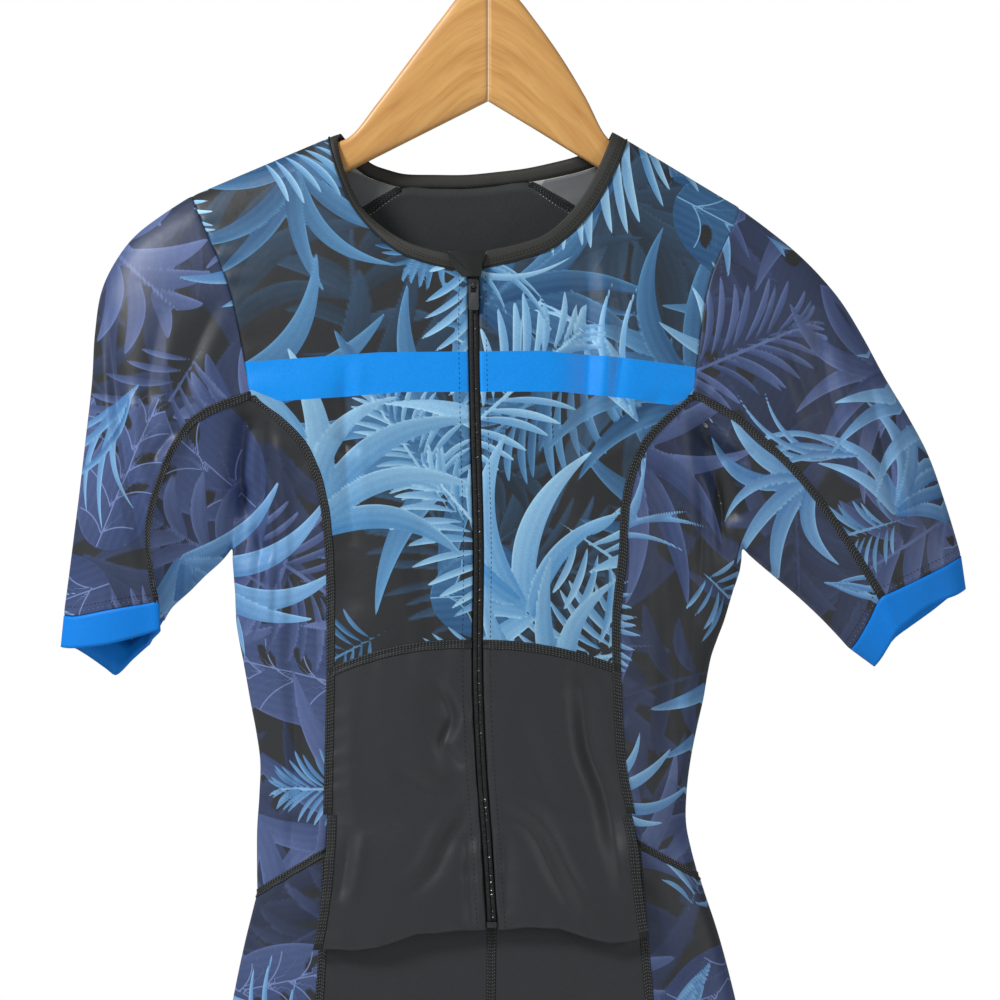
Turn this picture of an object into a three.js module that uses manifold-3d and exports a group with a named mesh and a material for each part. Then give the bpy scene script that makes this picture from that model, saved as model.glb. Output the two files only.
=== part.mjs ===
// A short-sleeved triathlon suit hanging on a wooden hanger.
// Millimetres, +Z up, the front of the suit faces -Y, left and right are the viewer's.
// The origin is the inner crest of the hanger's hook, where a rail would hold it.

import * as THREE from 'three';
import { mergeVertices } from 'three/addons/utils/BufferGeometryUtils.js';
import Module from 'manifold-3d';

// Cloth and seams
const WALL = 1.2;
const SEAM_GAP = 0.3;
const FLAT_MITRE = 0.35;
const TURNED_MITRE = 2.6;
const BAND_INSET = 0.6;
const SHOULDER_RADIUS = 9;
const EDGE_RADIUS = 9;
const TURN_SHARE = 0.3;
const TURN_DRAW_IN = 0.9;
const PANEL_CROWN = 2.5;
const BINDING_CROWN = 0.8;
const BACK_CROWN = 8;

// Folds fade out where the cloth turns edge on, between these distances from its middle
const FOLD_FADE = { from: 6, to: 18 };

// Front zip
const ZIP_HALF_OPENING = 3.6;
const TAPE_HALF_WIDTH = 10;
const TAPE_WALL = 1;
const TAPE_CLEARANCE = 0.6;
const COIL_HALF_WIDTH = 2.6;
const COIL_HEIGHT = 1.4;
const COIL_SPLIT = 0.2;
const COIL_SLOPE = 0.7;
const TAPE_ROWS = 20;
const ZIP_STOP_Z = -655;
const ZIP_STOP = { halfWidth: 3, height: 3.6, corner: 0.8, proud: 0.6, thick: 2.4 };

// Slider and pull tab
const SLIDER_AXIS_Z = -256;
const SLIDER_PLATE = { halfWidth: 3.2, up: 4.2, down: 5.2, thick: 1.8, corner: 1.4 };
const BRIDGE = { halfWidth: 0.8, inner: 1.1, outer: 2.1, rise: 1.5, rooted: 0.4 };
const TAB = {
  halfWidth: 3.2, bar: 0.7, window: 1.6, windowDown: 4.6, length: 15.5, thick: 1.1, corner: 1.2,
};

// Wooden hanger and its hook
const WOOD_HALF_THICK = 5.5;
const WOOD_CORNER = 4.6;
const WOOD_CORNER_SHARE = 0.45;
const WOOD_DROP = 1.6;
const WOOD_MITRE_GAP = 0.15;
const HOOK_WIRE = 3.6;
const HOOK_INNER_RADIUS = 20;
const HOOK_STEM_END_Z = -59.6;
const HOOK_STEM_RISE = 8;
const HOOK_SWEEP = { from: -62, to: 205, step: 15 };
const HOOK_STEPS = 44;

// Shorts: the inseam stands forward from the crotch down, beside a narrow inner stretch
const LEG_BAND_DROP = 23;
const INNER_STRETCH = { share: 0.18, lowShare: 0.2, depth: 16 };
const CROTCH = { from: 780, to: 850 };
const MID_INSEAM = { x: 13, z: -915 };

// Rows of the side strip at the waist seam, and where the front's hem leaves the strip
const WAIST_SECTION = 5;
const LIFT_SECTION = 7;
const UPPER_FADE_ROWS = 5;
const LOWER_FADE_ROWS = 4;
const SHOULDER_FADE_ROWS = 6;

// The garage over the zip's top, a row for each level from the neck edge down
const GARAGE = [
  { z: -234.5, left: -26, right: -3, out: 28 },
  { z: -244, left: -22, right: -3.5, out: 28.6 },
  { z: -250.5, left: -16.5, right: -4.5, out: 29.4 },
];

const MATERIALS = {
  print: new THREE.MeshStandardMaterial({ color: 0x3a4c6e, roughness: 0.55 }),
  sidePrint: new THREE.MeshStandardMaterial({ color: 0x39415e, roughness: 0.6 }),
  black: new THREE.MeshStandardMaterial({ color: 0x26282b, roughness: 0.7 }),
  cuffBlue: new THREE.MeshStandardMaterial({ color: 0x0082eb, roughness: 0.6 }),
  binding: new THREE.MeshStandardMaterial({ color: 0x3a3a39, roughness: 0.75 }),
  tape: new THREE.MeshStandardMaterial({ color: 0x101113, roughness: 0.6 }),
  metal: new THREE.MeshStandardMaterial({ color: 0x2c2d30, roughness: 0.35, metalness: 0.8 }),
  tab: new THREE.MeshStandardMaterial({ color: 0x17181a, roughness: 0.5 }),
  wood: new THREE.MeshStandardMaterial({ color: 0xcf9c58, roughness: 0.45 }),
  steel: new THREE.MeshStandardMaterial({ color: 0xb9bcc0, roughness: 0.25, metalness: 1 }),
};

// Each side has a row for each sleeve section, from the armhole to the top of the cuff,
// then the cuff's lower edge. Columns are places round the sleeve, as [x, y, z].
// The torso rows run down the side panel from under the armhole to the shorts seam.
// The shorts rows run from that seam to the leg band.
const SIDES = {
  left: {
    sleeve: [
      { seam: [-149, -24, -325], front: [-163, -21, -258], outer: [-188, 0, -197],
        back: [-168, 15, -262], seamBack: [-149, 20, -322], under: [-163, 0, -422] },
      { seam: [-169, -26, -332], front: [-197, -23, -276], outer: [-225, 0, -223],
        back: [-198, 17, -288], seamBack: [-168, 21, -336], under: [-170, 0, -430] },
      { seam: [-187, -27, -343], front: [-217, -24, -303], outer: [-246, 0, -258],
        back: [-216, 18, -316], seamBack: [-185, 21, -352], under: [-180, 0, -439] },
      { seam: [-203, -27, -372], front: [-229, -23, -345], outer: [-252, 0, -315],
        back: [-229, 18, -358], seamBack: [-199, 21, -384], under: [-190, 1, -449] },
      { seam: [-213, -24, -412], front: [-237, -20, -398], outer: [-260, 0, -385],
        back: [-240, 18, -410], seamBack: [-212, 20, -428], under: [-201, 2, -459] },
      { seam: [-208, -16, -455], front: [-239, -16, -460], outer: [-270, 0, -464],
        back: [-250, 16, -472], seamBack: [-228, 17, -480], under: [-207, 4, -468] },
    ],
    cuff: { seam: [-207, -14, -473], front: [-241, -14, -482], outer: [-272, 0, -484],
      back: [-256, 15, -491], seamBack: [-239, 15, -503], under: [-216, 8, -483] },
    torso: [
      { seam: [-118, -25, -353], under: [-162, 0, -437], seamBack: [-130, 21, -352] },
      { seam: [-105, -25, -385], under: [-161, 0, -450], seamBack: [-120, 22, -385] },
      { seam: [-100, -25, -425], under: [-160, 0, -470], seamBack: [-117, 22, -425] },
      { seam: [-99, -25, -462], under: [-156, 0, -492], seamBack: [-115, 22, -462] },
      { seam: [-99, -25, -499], under: [-151, 0, -520], seamBack: [-113, 22, -499] },
      { seam: [-100, -24.5, -555], under: [-145, 0, -557], seamBack: [-112, 22, -555] },
      { seam: [-101, -24, -590], under: [-147, 0, -600], seamBack: [-113, 22, -588] },
      { seam: [-102, -21.5, -612], under: [-147, 0, -641], seamBack: [-114, 22, -612] },
    ],
    shorts: [
      { seam: [-103, -21, -650], under: [-157, 0, -682], seamBack: [-118, 22, -650] },
      { seam: [-108, -21, -740], under: [-170, 0, -755], seamBack: [-124, 23, -740] },
      { seam: [-112, -21, -850], under: [-176, 0, -850], seamBack: [-128, 23, -850] },
      { seam: [-112, -20, -985], under: [-178, 0, -985], seamBack: [-128, 20, -985] },
    ],
    neck: [
      { outer: [-14, -25, -247], inner: [-24, -26, -236] },
      { outer: [-55, -23, -235], inner: [-51, -23, -228] },
      { outer: [-86, -17, -204], inner: [-80, -14, -205] },
      { outer: [-100, -8, -167], inner: [-95, -6.8, -166] },
      { outer: [-101, 0, -160], inner: [-94, 0, -157.5] },
      { outer: [-97, 8, -167], inner: [-90, 8, -162] },
      { outer: [-78, 12, -183], inner: [-74, 12, -176] },
      { outer: [-56, 14, -190.5], inner: [-54, 14, -182] },
    ],
    flap: [
      { seam: [-102, -26.5, -612] },
      { seam: [-105, -28, -643] },
      { seam: [-110, -28, -668] },
    ],
    inseam: [-24, 0, -985],
    wood: [
      { x: 0, top: -60, bottom: -137 }, { x: -15, top: -65, bottom: -144.5 },
      { x: -30, top: -83, bottom: -152 }, { x: -49, top: -108, bottom: -161.5 },
      { x: -70, top: -136, bottom: -172 }, { x: -88, top: -158, bottom: -181 },
      { x: -101, top: -163, bottom: -187 }, { x: -145, top: -181.5, bottom: -206 },
      { x: -188, top: -200.5, bottom: -221 }, { x: -207, top: -213.5, bottom: -227 },
    ],
  },
  right: {
    sleeve: [
      { seam: [129, -24, -325], front: [140, -21, -252], outer: [160, 0, -205],
        back: [146, 15, -258], seamBack: [129, 20, -322], under: [162, 0, -422] },
      { seam: [152, -26, -337], front: [175, -23, -280], outer: [197, 0, -234],
        back: [178, 17, -286], seamBack: [151, 21, -340], under: [171, 0, -430] },
      { seam: [174, -27, -355], front: [200, -24, -308], outer: [225, 0, -265],
        back: [202, 18, -312], seamBack: [173, 21, -358], under: [184, 0, -441] },
      { seam: [197, -28, -378], front: [227, -24, -345], outer: [252, 0, -312],
        back: [228, 18, -348], seamBack: [196, 21, -384], under: [197, 1, -452] },
      { seam: [223, -26, -413], front: [254, -21, -388], outer: [280, 0, -362],
        back: [255, 18, -392], seamBack: [222, 20, -420], under: [213, 2, -467] },
      { seam: [248, -20, -452], front: [276, -16, -439], outer: [301, 0, -426],
        back: [280, 16, -442], seamBack: [252, 18, -458], under: [231, 4, -486] },
    ],
    cuff: { seam: [258, -17, -474], front: [278, -14, -458], outer: [304, 0, -447],
      back: [284, 14, -462], seamBack: [262, 16, -478], under: [246, 4, -497] },
    torso: [
      { seam: [100, -25, -353], under: [160, 0, -436], seamBack: [112, 21, -352] },
      { seam: [88, -25, -385], under: [156, 0, -448], seamBack: [102, 22, -385] },
      { seam: [85, -25, -425], under: [150, 0, -468], seamBack: [98, 22, -425] },
      { seam: [81, -25, -462], under: [142, 0, -490], seamBack: [95, 22, -462] },
      { seam: [81, -25, -497], under: [137, 0, -517], seamBack: [93, 22, -497] },
      { seam: [84, -24.5, -555], under: [129, 0, -555], seamBack: [93, 22, -555] },
      { seam: [90, -24, -587], under: [126, 0, -596], seamBack: [95, 22, -586] },
      { seam: [94, -21.5, -607], under: [134, 0, -630], seamBack: [98, 22, -607] },
    ],
    shorts: [
      { seam: [97, -21, -650], under: [148, 0, -672], seamBack: [104, 22, -650] },
      { seam: [104, -21, -740], under: [165, 0, -748], seamBack: [118, 23, -740] },
      { seam: [108, -21, -850], under: [172, 0, -850], seamBack: [124, 23, -850] },
      { seam: [108, -20, -985], under: [174, 0, -985], seamBack: [124, 20, -985] },
    ],
    neck: [
      { outer: [-4, -25, -245], inner: [-1, -26, -234] },
      { outer: [40, -23, -232], inner: [35, -24, -224] },
      { outer: [68, -17, -204], inner: [59, -17.5, -200] },
      { outer: [86, -8, -168], inner: [77, -8, -163] },
      { outer: [88, 0, -161.5], inner: [79, 0, -156.5] },
      { outer: [84, 8, -169], inner: [75, 8, -163] },
      { outer: [60, 12, -180], inner: [55, 12, -171.5] },
      { outer: [26, 14, -187], inner: [24, 14, -178.5] },
    ],
    flap: [
      { seam: [94, -26.5, -607] },
      { seam: [97, -28, -635] },
      { seam: [101, -28, -660] },
    ],
    inseam: [24, 0, -985],
    wood: [
      { x: 0, top: -60, bottom: -137 }, { x: 15, top: -66, bottom: -146 },
      { x: 30, top: -84, bottom: -155 }, { x: 47, top: -108, bottom: -165.5 },
      { x: 62, top: -133, bottom: -174.5 }, { x: 76, top: -159, bottom: -183 },
      { x: 88, top: -166, bottom: -190 }, { x: 124, top: -186.5, bottom: -212 },
      { x: 160, top: -208.5, bottom: -229 }, { x: 180, top: -224, bottom: -237 },
    ],
  },
};

// The zip's centre line at the cloth's outer face, from the neck to the hem
const ZIP_LINE = [
  { z: -245, x: -9, y: -25 }, { z: -285, x: -9, y: -29 }, { z: -340, x: -8, y: -31.5 },
  { z: -420, x: -6, y: -32 }, { z: -500, x: -6.5, y: -32 }, { z: -560, x: -4, y: -31 },
  { z: -615, x: 0, y: -30 }, { z: -664, x: 3, y: -29 },
];
const ZIP_TOP_Z = -246;
const ZIP_CHEST_Z = -318;
const WAIST_Z = -481;
const FLAP_LIFT_Z = -588;
const HEM_Z = -661;

// How far the waist seam's middle rises over the straight line between its ends
const WAIST_RISE = { left: 5.5, right: 4 };

// Middle of the back neck
const BACK_NECK = { outer: [-14, 15, -191], inner: [-14, 15, -182.5] };

// Centre seam of the shorts from behind the flap to the crotch
const CENTRE_FRONT = [[3, -19, -606], [2, -20, -690], [1, -18, -780], [0, -10, -832], [0, 0, -850]];
const CENTRE_BACK = [[-8, 26, -612], [-4, 26, -690], [-1, 23, -780], [0, 12, -832], [0, 0, -850]];
const CENTRE_SPLIT = 0.15;

// Large folds of the hanging cloth: each is a line down a face, with the depth that the
// cloth sinks (plus) or stands out (minus) along it, and its half width
const FOLDS = [
  { face: 'front', from: [-151, -345], to: [-157, -425], deep: 9, wide: 9 },
  { face: 'front', from: [-135, -360], to: [-141, -560], deep: -2.5, wide: 8 },
  { face: 'front', from: [-124, -400], to: [-128, -600], deep: 2.5, wide: 8 },
  { face: 'front', from: [-89, -330], to: [-88, -450], deep: 2.5, wide: 13 },
  { face: 'front', from: [-222, -335], to: [-209, -440], deep: -4, wide: 11 },
  { face: 'front', from: [137, -345], to: [152, -418], deep: 9, wide: 9 },
  { face: 'front', from: [112, -380], to: [116, -560], deep: 2.5, wide: 8 },
  { face: 'front', from: [62, -250], to: [60, -400], deep: 2.5, wide: 12 },
  { face: 'front', from: [205, -300], to: [218, -370], deep: 3, wide: 11 },
  { face: 'front', from: [60, -510], to: [76, -600], deep: 2.5, wide: 11 },
  { face: 'front', from: [-30, -520], to: [-14, -600], deep: 2.5, wide: 11 },
  { face: 'back', from: [-70, -300], to: [-52, -560], deep: 3, wide: 16 },
  { face: 'back', from: [44, -290], to: [36, -540], deep: 3, wide: 16 },
  { face: 'back', from: [-8, -420], to: [-12, -600], deep: 2.5, wide: 14 },
  { face: 'back', from: [-200, -330], to: [-215, -430], deep: 3, wide: 12 },
  { face: 'back', from: [205, -330], to: [232, -410], deep: 3, wide: 12 },
];

const vector = ([x, y, z]) => new THREE.Vector3(x, y, z);

// A smooth curve through named points: the parameter runs over them evenly
function curveThrough(points) {
  const curve = new THREE.CatmullRomCurve3(points.map((p) => p.clone()), false, 'centripetal');
  return (t) => curve.getPoint(t);
}

const column = (rows, name) => rows.map((row) => vector(row[name]));

// Samples of a curve, with a stated number of steps in each stretch between its points
function sample(points, steps) {
  const curve = curveThrough(points);
  const stretches = points.length - 1;
  const samples = [curve(0)];
  for (let stretch = 0; stretch < stretches; stretch += 1) {
    const count = Array.isArray(steps) ? steps[stretch] : steps;
    for (let i = 1; i <= count; i += 1) samples.push(curve((stretch + i / count) / stretches));
  }
  return samples;
}

// Three points round a folded edge, so that the cloth turns over it in a small arc
function roundEdge(edge, front, back, radius) {
  const inward = front.clone().add(back).multiplyScalar(0.5).sub(edge);
  inward.y = 0;
  const reach = inward.length();
  const turn = Math.min(radius, TURN_SHARE * reach);
  inward.setLength(turn * TURN_DRAW_IN);
  const offset = new THREE.Vector3(0, turn, 0);
  return [edge.clone().add(inward).sub(offset), edge.clone(), edge.clone().add(inward).add(offset)];
}

// The zip's centre at a height
function zipAt(z) {
  let row = 0;
  while (row < ZIP_LINE.length - 2 && z < ZIP_LINE[row + 1].z) row += 1;
  const curve = new THREE.CatmullRomCurve3(ZIP_LINE.map((p) => new THREE.Vector3(p.x, p.y, p.z)));
  const within = (z - ZIP_LINE[row].z) / (ZIP_LINE[row + 1].z - ZIP_LINE[row].z);
  const point = curve.getPoint((row + within) / (ZIP_LINE.length - 1));
  point.z = z;
  return point;
}

// Sinks or raises a point of the cloth where a fold crosses it
function foldDepth(point) {
  let depth = 0;
  for (const fold of FOLDS) {
    const along = new THREE.Vector2(fold.to[0] - fold.from[0], fold.to[1] - fold.from[1]);
    const reach = new THREE.Vector2(point.x - fold.from[0], point.z - fold.from[1]);
    const t = THREE.MathUtils.clamp(reach.dot(along) / along.lengthSq(), 0, 1);
    const away = reach.sub(along.multiplyScalar(t)).length() / fold.wide;
    const facing = fold.face === 'front' ? -point.y : point.y;
    const hold = THREE.MathUtils.smoothstep(facing, FOLD_FADE.from, FOLD_FADE.to);
    depth += (fold.face === 'front' ? 1 : -1) * fold.deep * Math.exp(-away * away) * hold;
  }
  return depth;
}

const settle = (grid) => grid.map((row) => row.map((p) => {
  const point = p.clone();
  point.y += foldDepth(p);
  return point;
}));

// A closed wall from a grid of points on the cloth's outer face. Rows and columns turn
// so that row direction x column direction points outwards. A ring closes on itself.
function wall(grid, { ring = false, thick = WALL, gap = SEAM_GAP / 2, mitre = FLAT_MITRE } = {}) {
  const rows = grid.length;
  const columns = grid[0].length;
  const outer = [];
  const inner = [];
  const at = (j, i) => {
    const wrapped = ring ? (i + columns) % columns : THREE.MathUtils.clamp(i, 0, columns - 1);
    return grid[THREE.MathUtils.clamp(j, 0, rows - 1)][wrapped];
  };
  for (let j = 0; j < rows; j += 1) {
    for (let i = 0; i < columns; i += 1) {
      const across = at(j, i + 1).clone().sub(at(j, i - 1));
      const down = at(j + 1, i).clone().sub(at(j - 1, i));
      const normal = down.cross(across).normalize();
      const inset = new THREE.Vector3();
      if (j === 0) inset.add(at(1, i).clone().sub(at(0, i)).normalize());
      if (j === rows - 1) inset.add(at(j - 1, i).clone().sub(at(j, i)).normalize());
      if (!ring && i === 0) inset.add(at(j, 1).clone().sub(at(j, 0)).normalize());
      if (!ring && i === columns - 1) inset.add(at(j, i - 1).clone().sub(at(j, i)).normalize());
      const outerPoint = at(j, i).clone().addScaledVector(inset, gap);
      outer.push(outerPoint);
      inner.push(outerPoint.clone().addScaledVector(normal, -thick).addScaledVector(inset, mitre));
    }
  }
  const positions = [...outer, ...inner].flatMap((p) => [p.x, p.y, p.z]);
  const insideFrom = outer.length;
  const triangles = [];
  const quad = (a, b, c, d) => triangles.push(a, b, c, a, c, d);
  const cellColumns = ring ? columns : columns - 1;
  for (let j = 0; j < rows - 1; j += 1) {
    for (let i = 0; i < cellColumns; i += 1) {
      const next = (i + 1) % columns;
      const [a, b] = [j * columns + i, j * columns + next];
      const [c, d] = [(j + 1) * columns + next, (j + 1) * columns + i];
      quad(a, d, c, b);
      quad(insideFrom + a, insideFrom + b, insideFrom + c, insideFrom + d);
    }
  }
  const rim = (a, b) => quad(a, b, insideFrom + b, insideFrom + a);
  for (let i = 0; i < cellColumns; i += 1) {
    const next = (i + 1) % columns;
    rim(i, next);
    rim((rows - 1) * columns + next, (rows - 1) * columns + i);
  }
  if (!ring) {
    for (let j = 0; j < rows - 1; j += 1) {
      rim((j + 1) * columns, j * columns);
      rim(j * columns + columns - 1, (j + 1) * columns + columns - 1);
    }
  }
  const geometry = new THREE.BufferGeometry();
  geometry.setAttribute('position', new THREE.Float32BufferAttribute(positions, 3));
  geometry.setIndex(triangles);
  return geometry;
}

const flipColumns = (grid) => grid.map((row) => [...row].reverse());

// The grid's columns run from the viewer's left to right on the front, and wrap on
// round the back, so a right-hand piece is turned over
const facing = (grid, side) => (side === 'left' ? grid : flipColumns(grid));

const group = new THREE.Group();

function add(name, geometry, material) {
  geometry.computeVertexNormals();
  const mesh = new THREE.Mesh(geometry, material);
  mesh.name = name;
  group.add(mesh);
  return mesh;
}

const SLEEVE_STEPS = 2;
const ARMHOLE_STEPS = [4, 6, 2, 2, 4, 4];
const STRIP_STEPS = 2;
const NECK_STEPS = [2, 2, 2, 2, 2, 2, 2];
const YOKE_COLUMNS = 6;
const BACK_NECK_STEPS = 2;
const SHORTS_STEPS = 3;
const HALF_COLUMNS = [4, 4];

// The points round a sleeve section, from the front seam over the outer edge to the back seam
function sleeveSection(row) {
  const [front, back] = [vector(row.front), vector(row.back)];
  const edge = roundEdge(vector(row.outer), front, back, SHOULDER_RADIUS);
  return [vector(row.seam), front, ...edge, back, vector(row.seamBack)];
}

// The points round the underarm and side strip, from the front seam to the back seam
function stripSection(row) {
  const [front, back] = [vector(row.seam), vector(row.seamBack)];
  return [front, ...roundEdge(vector(row.under), front, back, EDGE_RADIUS), back];
}

// A surface skinned through sections: each section point runs on along a smooth line
function skin(sections, stepsDown, stepsAcross) {
  const lines = sections[0].map((_, k) => sample(sections.map((section) => section[k]), stepsDown));
  return lines[0].map((_, j) => sample(lines.map((line) => line[j]), stepsAcross));
}

function sideGrids(side) {
  const table = SIDES[side];
  const sleeve = skin(table.sleeve.map(sleeveSection), SLEEVE_STEPS, ARMHOLE_STEPS);
  const underarm = skin(table.sleeve.map(stripSection), SLEEVE_STEPS, STRIP_STEPS);
  const torsoRows = [table.sleeve[0], ...table.torso];
  const torso = skin(torsoRows.map(stripSection), STRIP_STEPS, STRIP_STEPS);
  const shortsRows = [table.torso.at(-1), ...table.shorts];
  const shorts = skin(shortsRows.map(stripSection), SHORTS_STEPS, STRIP_STEPS);
  return { sleeve, underarm, torso, shorts };
}

// Columns of points between an inner and an outer edge, which bow out by a crown
function between(inner, outer, count, crown) {
  const points = [];
  for (let i = 0; i <= count; i += 1) {
    const u = i / count;
    const point = inner.clone().lerp(outer, u);
    point.y -= crown * 4 * u * (1 - u);
    points.push(point);
  }
  return points;
}

const evenly = (from, to, count) => Array.from({ length: count + 1 },
  (_, i) => from + (to - from) * i / count);

const zipEdge = (z, side) => {
  const point = zipAt(z);
  point.x += side === 'left' ? -ZIP_HALF_OPENING : ZIP_HALF_OPENING;
  return point;
};

// Lifts a row's middle in a parabola, as the waist seam curves up between its ends
function raiseMiddle(row, lift) {
  row.forEach((point, i) => {
    const u = i / (row.length - 1);
    point.z += lift * 4 * u * (1 - u);
  });
  return row;
}

// Front panel from the waist seam up the zip and the neck, over the shoulder to the yoke seam
function frontUpper(side, grids) {
  const table = SIDES[side];
  const waistRow = WAIST_SECTION * STRIP_STEPS;
  const seam = grids.torso.slice(0, waistRow + 1).map((row) => row[0]).reverse();
  const frontSteps = ARMHOLE_STEPS.slice(0, 5).reduce((sum, n) => sum + n, 0);
  const armhole = grids.sleeve[0].slice(1, frontSteps + 1);
  const outerEdge = [...seam, ...armhole];
  const zip = evenly(WAIST_Z, ZIP_CHEST_Z, waistRow).map((z) => zipEdge(z, side));
  const chestHeights = evenly(ZIP_CHEST_Z, ZIP_TOP_Z, ARMHOLE_STEPS[0]).slice(1, -1);
  const chest = chestHeights.map((z) => zipEdge(z, side));
  const neck = sample(column(table.neck, 'outer'), NECK_STEPS);
  const innerEdge = [...zip, ...chest, ...neck];
  return innerEdge.map((inner, j) => {
    const over = THREE.MathUtils.clamp((j - waistRow - ARMHOLE_STEPS[0]) / SHOULDER_FADE_ROWS, 0, 1);
    const row = between(inner, outerEdge[j], YOKE_COLUMNS, PANEL_CROWN * (1 - over));
    return raiseMiddle(row, WAIST_RISE[side] * (1 - Math.min(1, j / UPPER_FADE_ROWS)));
  }).reverse().map((row) => row.reverse());
}

// Front panel from the waist seam down to the free hem, which hangs clear of the shorts
function frontLower(side, grids) {
  const table = SIDES[side];
  const from = WAIST_SECTION * STRIP_STEPS;
  const to = LIFT_SECTION * STRIP_STEPS;
  const seam = grids.torso.slice(from, to + 1).map((row) => row[0]);
  const lifted = sample([seam.at(-1), ...column(table.flap, 'seam')], [1, 2, 2]).slice(1);
  const outerEdge = [...seam, ...lifted];
  const zip = evenly(WAIST_Z, FLAP_LIFT_Z, to - from).map((z) => zipEdge(z, side));
  const flap = evenly(FLAP_LIFT_Z, HEM_Z, lifted.length).slice(1).map((z) => zipEdge(z, side));
  const innerEdge = [...zip, ...flap];
  return innerEdge.map((inner, j) => {
    const row = between(inner, outerEdge[j], YOKE_COLUMNS, PANEL_CROWN);
    return raiseMiddle(row, WAIST_RISE[side] * (1 - Math.min(1, j / LOWER_FADE_ROWS))).reverse();
  });
}

// Half of the shorts' front or back, between the side strip and the centre seam or inseam
function shortsHalf(side, face, grids) {
  const table = SIDES[side];
  const sign = side === 'left' ? -1 : 1;
  const name = face === 'front' ? 'seam' : 'seamBack';
  const centre = (face === 'front' ? CENTRE_FRONT : CENTRE_BACK).map(vector);
  centre.forEach((point) => { point.x += sign * CENTRE_SPLIT; });
  const deep = face === 'front' ? -1 : 1;
  centre[4].y = deep * CENTRE_SPLIT;
  const rows = [table.torso.at(-1), ...table.shorts];
  const middle = new THREE.Vector3(sign * MID_INSEAM.x, deep * CENTRE_SPLIT, MID_INSEAM.z);
  const hem = vector(table.inseam);
  hem.y = deep * CENTRE_SPLIT;
  const inseam = [centre[4], middle, hem];
  const upper = sample(centre, [3, 2, 2, 2]);
  const lower = sample(inseam, [1, 2]);
  const innerEdge = [...upper, ...lower.slice(1)];
  const outerEdge = sample(column(rows, name), SHORTS_STEPS);
  return outerEdge.map((outer, j) => {
    const inner = innerEdge[j];
    const low = THREE.MathUtils.smoothstep(-inner.z, CROTCH.from, CROTCH.to);
    const share = THREE.MathUtils.lerp(INNER_STRETCH.share, INNER_STRETCH.lowShare, low);
    const beside = inner.clone().lerp(outer, share);
    beside.y = THREE.MathUtils.lerp(beside.y, deep * INNER_STRETCH.depth, low);
    return sample([outer, beside, inner], HALF_COLUMNS);
  });
}

// Back panel between the back armholes and side seams, from the neck and yoke seams to the shorts
function backPanel(left, right, fronts, halves) {
  const backSteps = ARMHOLE_STEPS[5];
  const edge = (grids) => {
    const armhole = grids.sleeve[0].slice(-backSteps - 1);
    return [...armhole, ...grids.torso.slice(1).map((row) => row.at(-1))];
  };
  const [leftEdge, rightEdge] = [edge(left), edge(right)];
  const neckEnds = [SIDES.left.neck.at(-1).outer, SIDES.right.neck.at(-1).outer];
  const neck = [neckEnds[0], BACK_NECK.outer, neckEnds[1]].map(vector);
  const yokeLeft = fronts.left[0];
  const yokeRight = fronts.right[0];
  const nape = sample(neck, BACK_NECK_STEPS).slice(1, -1);
  const top = [...yokeLeft, ...nape, ...[...yokeRight].reverse()];
  const bottom = [...halves.left[0], ...[...halves.right[0]].reverse().slice(1)];
  const last = leftEdge.length - 1;
  const fraction = (row, i) => (row[i].x - row[0].x) / (row.at(-1).x - row[0].x);
  const chord = (row, u) => row[0].clone().lerp(row.at(-1), u);
  return leftEdge.map((start, j) => {
    const v = j / last;
    return top.map((_, i) => {
      const u = THREE.MathUtils.lerp(fraction(top, i), fraction(bottom, i), v);
      const point = start.clone().lerp(rightEdge[j], u);
      point.addScaledVector(top[i].clone().sub(chord(top, fraction(top, i))), (1 - v) ** 2);
      point.addScaledVector(bottom[i].clone().sub(chord(bottom, fraction(bottom, i))), v ** 2);
      point.y += BACK_CROWN * Math.sin(Math.PI * v) * 4 * u * (1 - u);
      return point;
    });
  });
}

// The binding round the neck, from the zip's left side over both shoulders to its right side
function neckBinding() {
  const edge = (name) => {
    const leftSide = sample(column(SIDES.left.neck, name), NECK_STEPS);
    const rightSide = sample(column(SIDES.right.neck, name), NECK_STEPS).reverse();
    const back = sample([leftSide.at(-1), vector(BACK_NECK[name]), rightSide[0]], BACK_NECK_STEPS);
    return [...leftSide, ...back.slice(1, -1), ...rightSide];
  };
  const [outer, inner] = [edge('outer'), edge('inner')];
  return outer.map((point, j) => between(inner[j], point, 2, BINDING_CROWN).reverse());
}

// A cuff or leg band: a ring from the rows that it is sewn to, down to its own edge
function band(top, bottom) {
  const middle = top.map((point, i) => point.clone().lerp(bottom[i], 0.5));
  return [top, middle, bottom];
}

function cuff(side, grids) {
  const row = SIDES[side].cuff;
  const outerPart = sample(sleeveSection(row), ARMHOLE_STEPS);
  const underPart = sample(stripSection(row), STRIP_STEPS);
  const ring = (over, under) => [...over, ...[...under].reverse().slice(1, -1)];
  return band(ring(grids.sleeve.at(-1), grids.underarm.at(-1)), ring(outerPart, underPart));
}

function legBand(grids, front, back) {
  const frontEdge = [...front.at(-1)].reverse().slice(1, -1);
  const ring = [...grids.shorts.at(-1), ...back.at(-1).slice(1), ...frontEdge];
  const down = ring.map((point) => point.clone().add(new THREE.Vector3(0, 0, -LEG_BAND_DROP)));
  return band(ring, down);
}

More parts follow.
